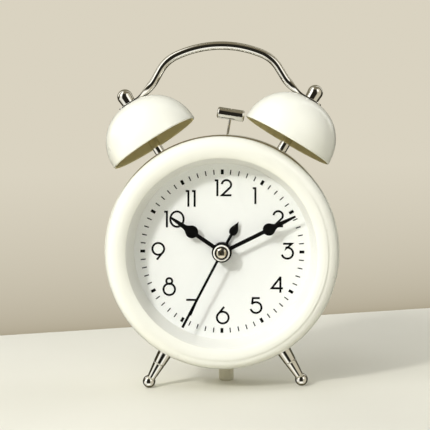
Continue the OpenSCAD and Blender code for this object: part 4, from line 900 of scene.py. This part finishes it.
lamp("key", (-0.72, -1.0, 0.72), away=1.3, size=0.17, power=9.1, colour=PALE_LIGHT)
lamp("window", (-0.55, -0.75, 1.1), away=1.4, size=1.3, power=8.3, colour=WINDOW_LIGHT)
lamp("side_fill", (1.0, 0.3, 0.6), away=1.5, size=1.4, power=3.8, colour=PALE_LIGHT)
lamp("rear_window", (-0.5, 1.0, 0.8), away=1.6, size=1.2, power=6.0, colour=PALE_LIGHT)

# Room: even light for the surfaces, and bright and dark sides as polished metal shows them
ROOM_LIGHT, ROOM_STRENGTH = (1.0, 1.0, 0.98, 1.0), 0.38
LEFT_WINDOW_LOW, LEFT_WINDOW_HIGH = (1.1, 1.1, 1.04, 1.0), (1.9, 1.9, 1.82, 1.0)
RIGHT_WALL, DARK_REAR = (0.66, 0.62, 0.5, 1.0), (0.022, 0.02, 0.015, 1.0)
CEILING, FLOOR_FLANKS = (0.25, 0.22, 0.15, 1.0), (0.7, 0.67, 0.56, 1.0)
NEAR_FLOOR, FLOOR_GLOOM = (1.25, 1.25, 1.18, 1.0), (0.11, 0.098, 0.055, 1.0)
# Spans of its parts: heights as the upward part of a direction, and turns in degrees from the front
SILL, CEILING_EDGE, WINDOW_TOP = (0.1, 0.3), (0.66, 0.82), (0.9, 0.97)
FLOOR_EDGE, STRAIGHT_DOWN = (-0.44, -0.58), (-0.93, -0.98)
WINDOW_TURNS, PANE_TURNS, RIGHT_TURNS = (-100, -40), (28, 58), (28, 98)
FLANK_TURNS, NEAR_TURNS = (-95, 95), (-48, 36)


def room_light():
    world = bpy.data.worlds.new("room")
    bpy.context.scene.world = world
    world.use_nodes = True
    tree = world.node_tree
    tree.nodes.clear()
    out = node_in(tree, "ShaderNodeOutputWorld")
    way = node_in(tree, "ShaderNodeSeparateXYZ")
    join(tree, node_in(tree, "ShaderNodeTexCoord").outputs["Generated"], way.inputs[0])
    height = way.outputs["Z"]
    facing = figure(tree, "ARCTAN2", way.outputs["X"], figure(tree, "MULTIPLY", way.outputs["Y"], -1.0))

    def backdrop(colour, strength=1.0):
        sky = node_in(tree, "ShaderNodeBackground")
        sky.inputs["Strength"].default_value = strength
        feed(tree, colour, sky.inputs["Color"])
        return sky.outputs[0]

    def side(turns, soft=6):
        first, last = turns
        rise = rising(tree, facing, math.radians(first - soft), math.radians(first + soft))
        fall = falling(tree, facing, math.radians(last - soft), math.radians(last + soft))
        return figure(tree, "MULTIPLY", rise, fall)

    high = rising(tree, height, *SILL)
    right_pane = figure(tree, "MULTIPLY", high, side(PANE_TURNS))
    right = blend_colours(tree, right_pane, RIGHT_WALL, MIRRORED_PANE)
    sides = blend_colours(tree, side(RIGHT_TURNS), DARK_REAR, right)
    sides = blend_colours(tree, rising(tree, height, *CEILING_EDGE), sides, CEILING)
    left = blend_colours(tree, high, LEFT_WINDOW_LOW, LEFT_WINDOW_HIGH)
    left_window = figure(tree, "MULTIPLY", side(WINDOW_TURNS), falling(tree, height, *WINDOW_TOP))
    sides = blend_colours(tree, left_window, sides, left)
    ground = blend_colours(tree, side(FLANK_TURNS, soft=12), FLOOR_GLOOM, FLOOR_FLANKS)
    ground = blend_colours(tree, side(NEAR_TURNS, soft=14), ground, NEAR_FLOOR)
    ground = blend_colours(tree, rising(tree, height, *STRAIGHT_DOWN), ground, FLOOR_GLOOM)
    sides = blend_colours(tree, rising(tree, height, *FLOOR_EDGE), sides, ground)
    rays = node_in(tree, "ShaderNodeLightPath")
    mirrored = figure(tree, "MAXIMUM", rays.outputs["Is Glossy Ray"], rays.outputs["Is Transmission Ray"])
    lit = mixed(tree, mirrored, backdrop(ROOM_LIGHT, ROOM_STRENGTH), backdrop(sides))
    join(tree, mixed(tree, rays.outputs["Is Camera Ray"], lit, backdrop(WALL_HIGH)), out.inputs["Surface"])


room_light()

# Camera at the photograph's viewing angle
FRAME_PIXELS, FOCAL_PIXELS = 430, 1255.0
SENSOR_WIDTH = 36.0
AZIMUTH, ELEVATION, ROLL = 2.5, 4.0, -1.25
AIM = Vector((-2.93, 0.0, 67.42)) * MM
RANGE = 500 * MM
ahead_dir = Vector((-sind(AZIMUTH) * cosd(ELEVATION), cosd(AZIMUTH) * cosd(ELEVATION),
                    -sind(ELEVATION)))
right_dir = Vector((cosd(AZIMUTH), sind(AZIMUTH), 0))
up_dir = right_dir.cross(ahead_dir)
image_right = right_dir * cosd(ROLL) + up_dir * sind(ROLL)
image_up = up_dir * cosd(ROLL) - right_dir * sind(ROLL)
camera_data = bpy.data.cameras.new("camera")
camera_data.sensor_width = SENSOR_WIDTH
camera_data.lens = SENSOR_WIDTH * FOCAL_PIXELS / FRAME_PIXELS
camera_data.clip_start = 10 * MM
camera = bpy.data.objects.new("camera", camera_data)
bpy.context.scene.collection.objects.link(camera)
turn = Matrix((image_right, image_up, -ahead_dir)).transposed().to_4x4()
camera.matrix_world = Matrix.Translation(AIM - ahead_dir * RANGE) @ turn
bpy.context.scene.camera = camera
bpy.context.scene.view_settings.view_transform = "Standard"
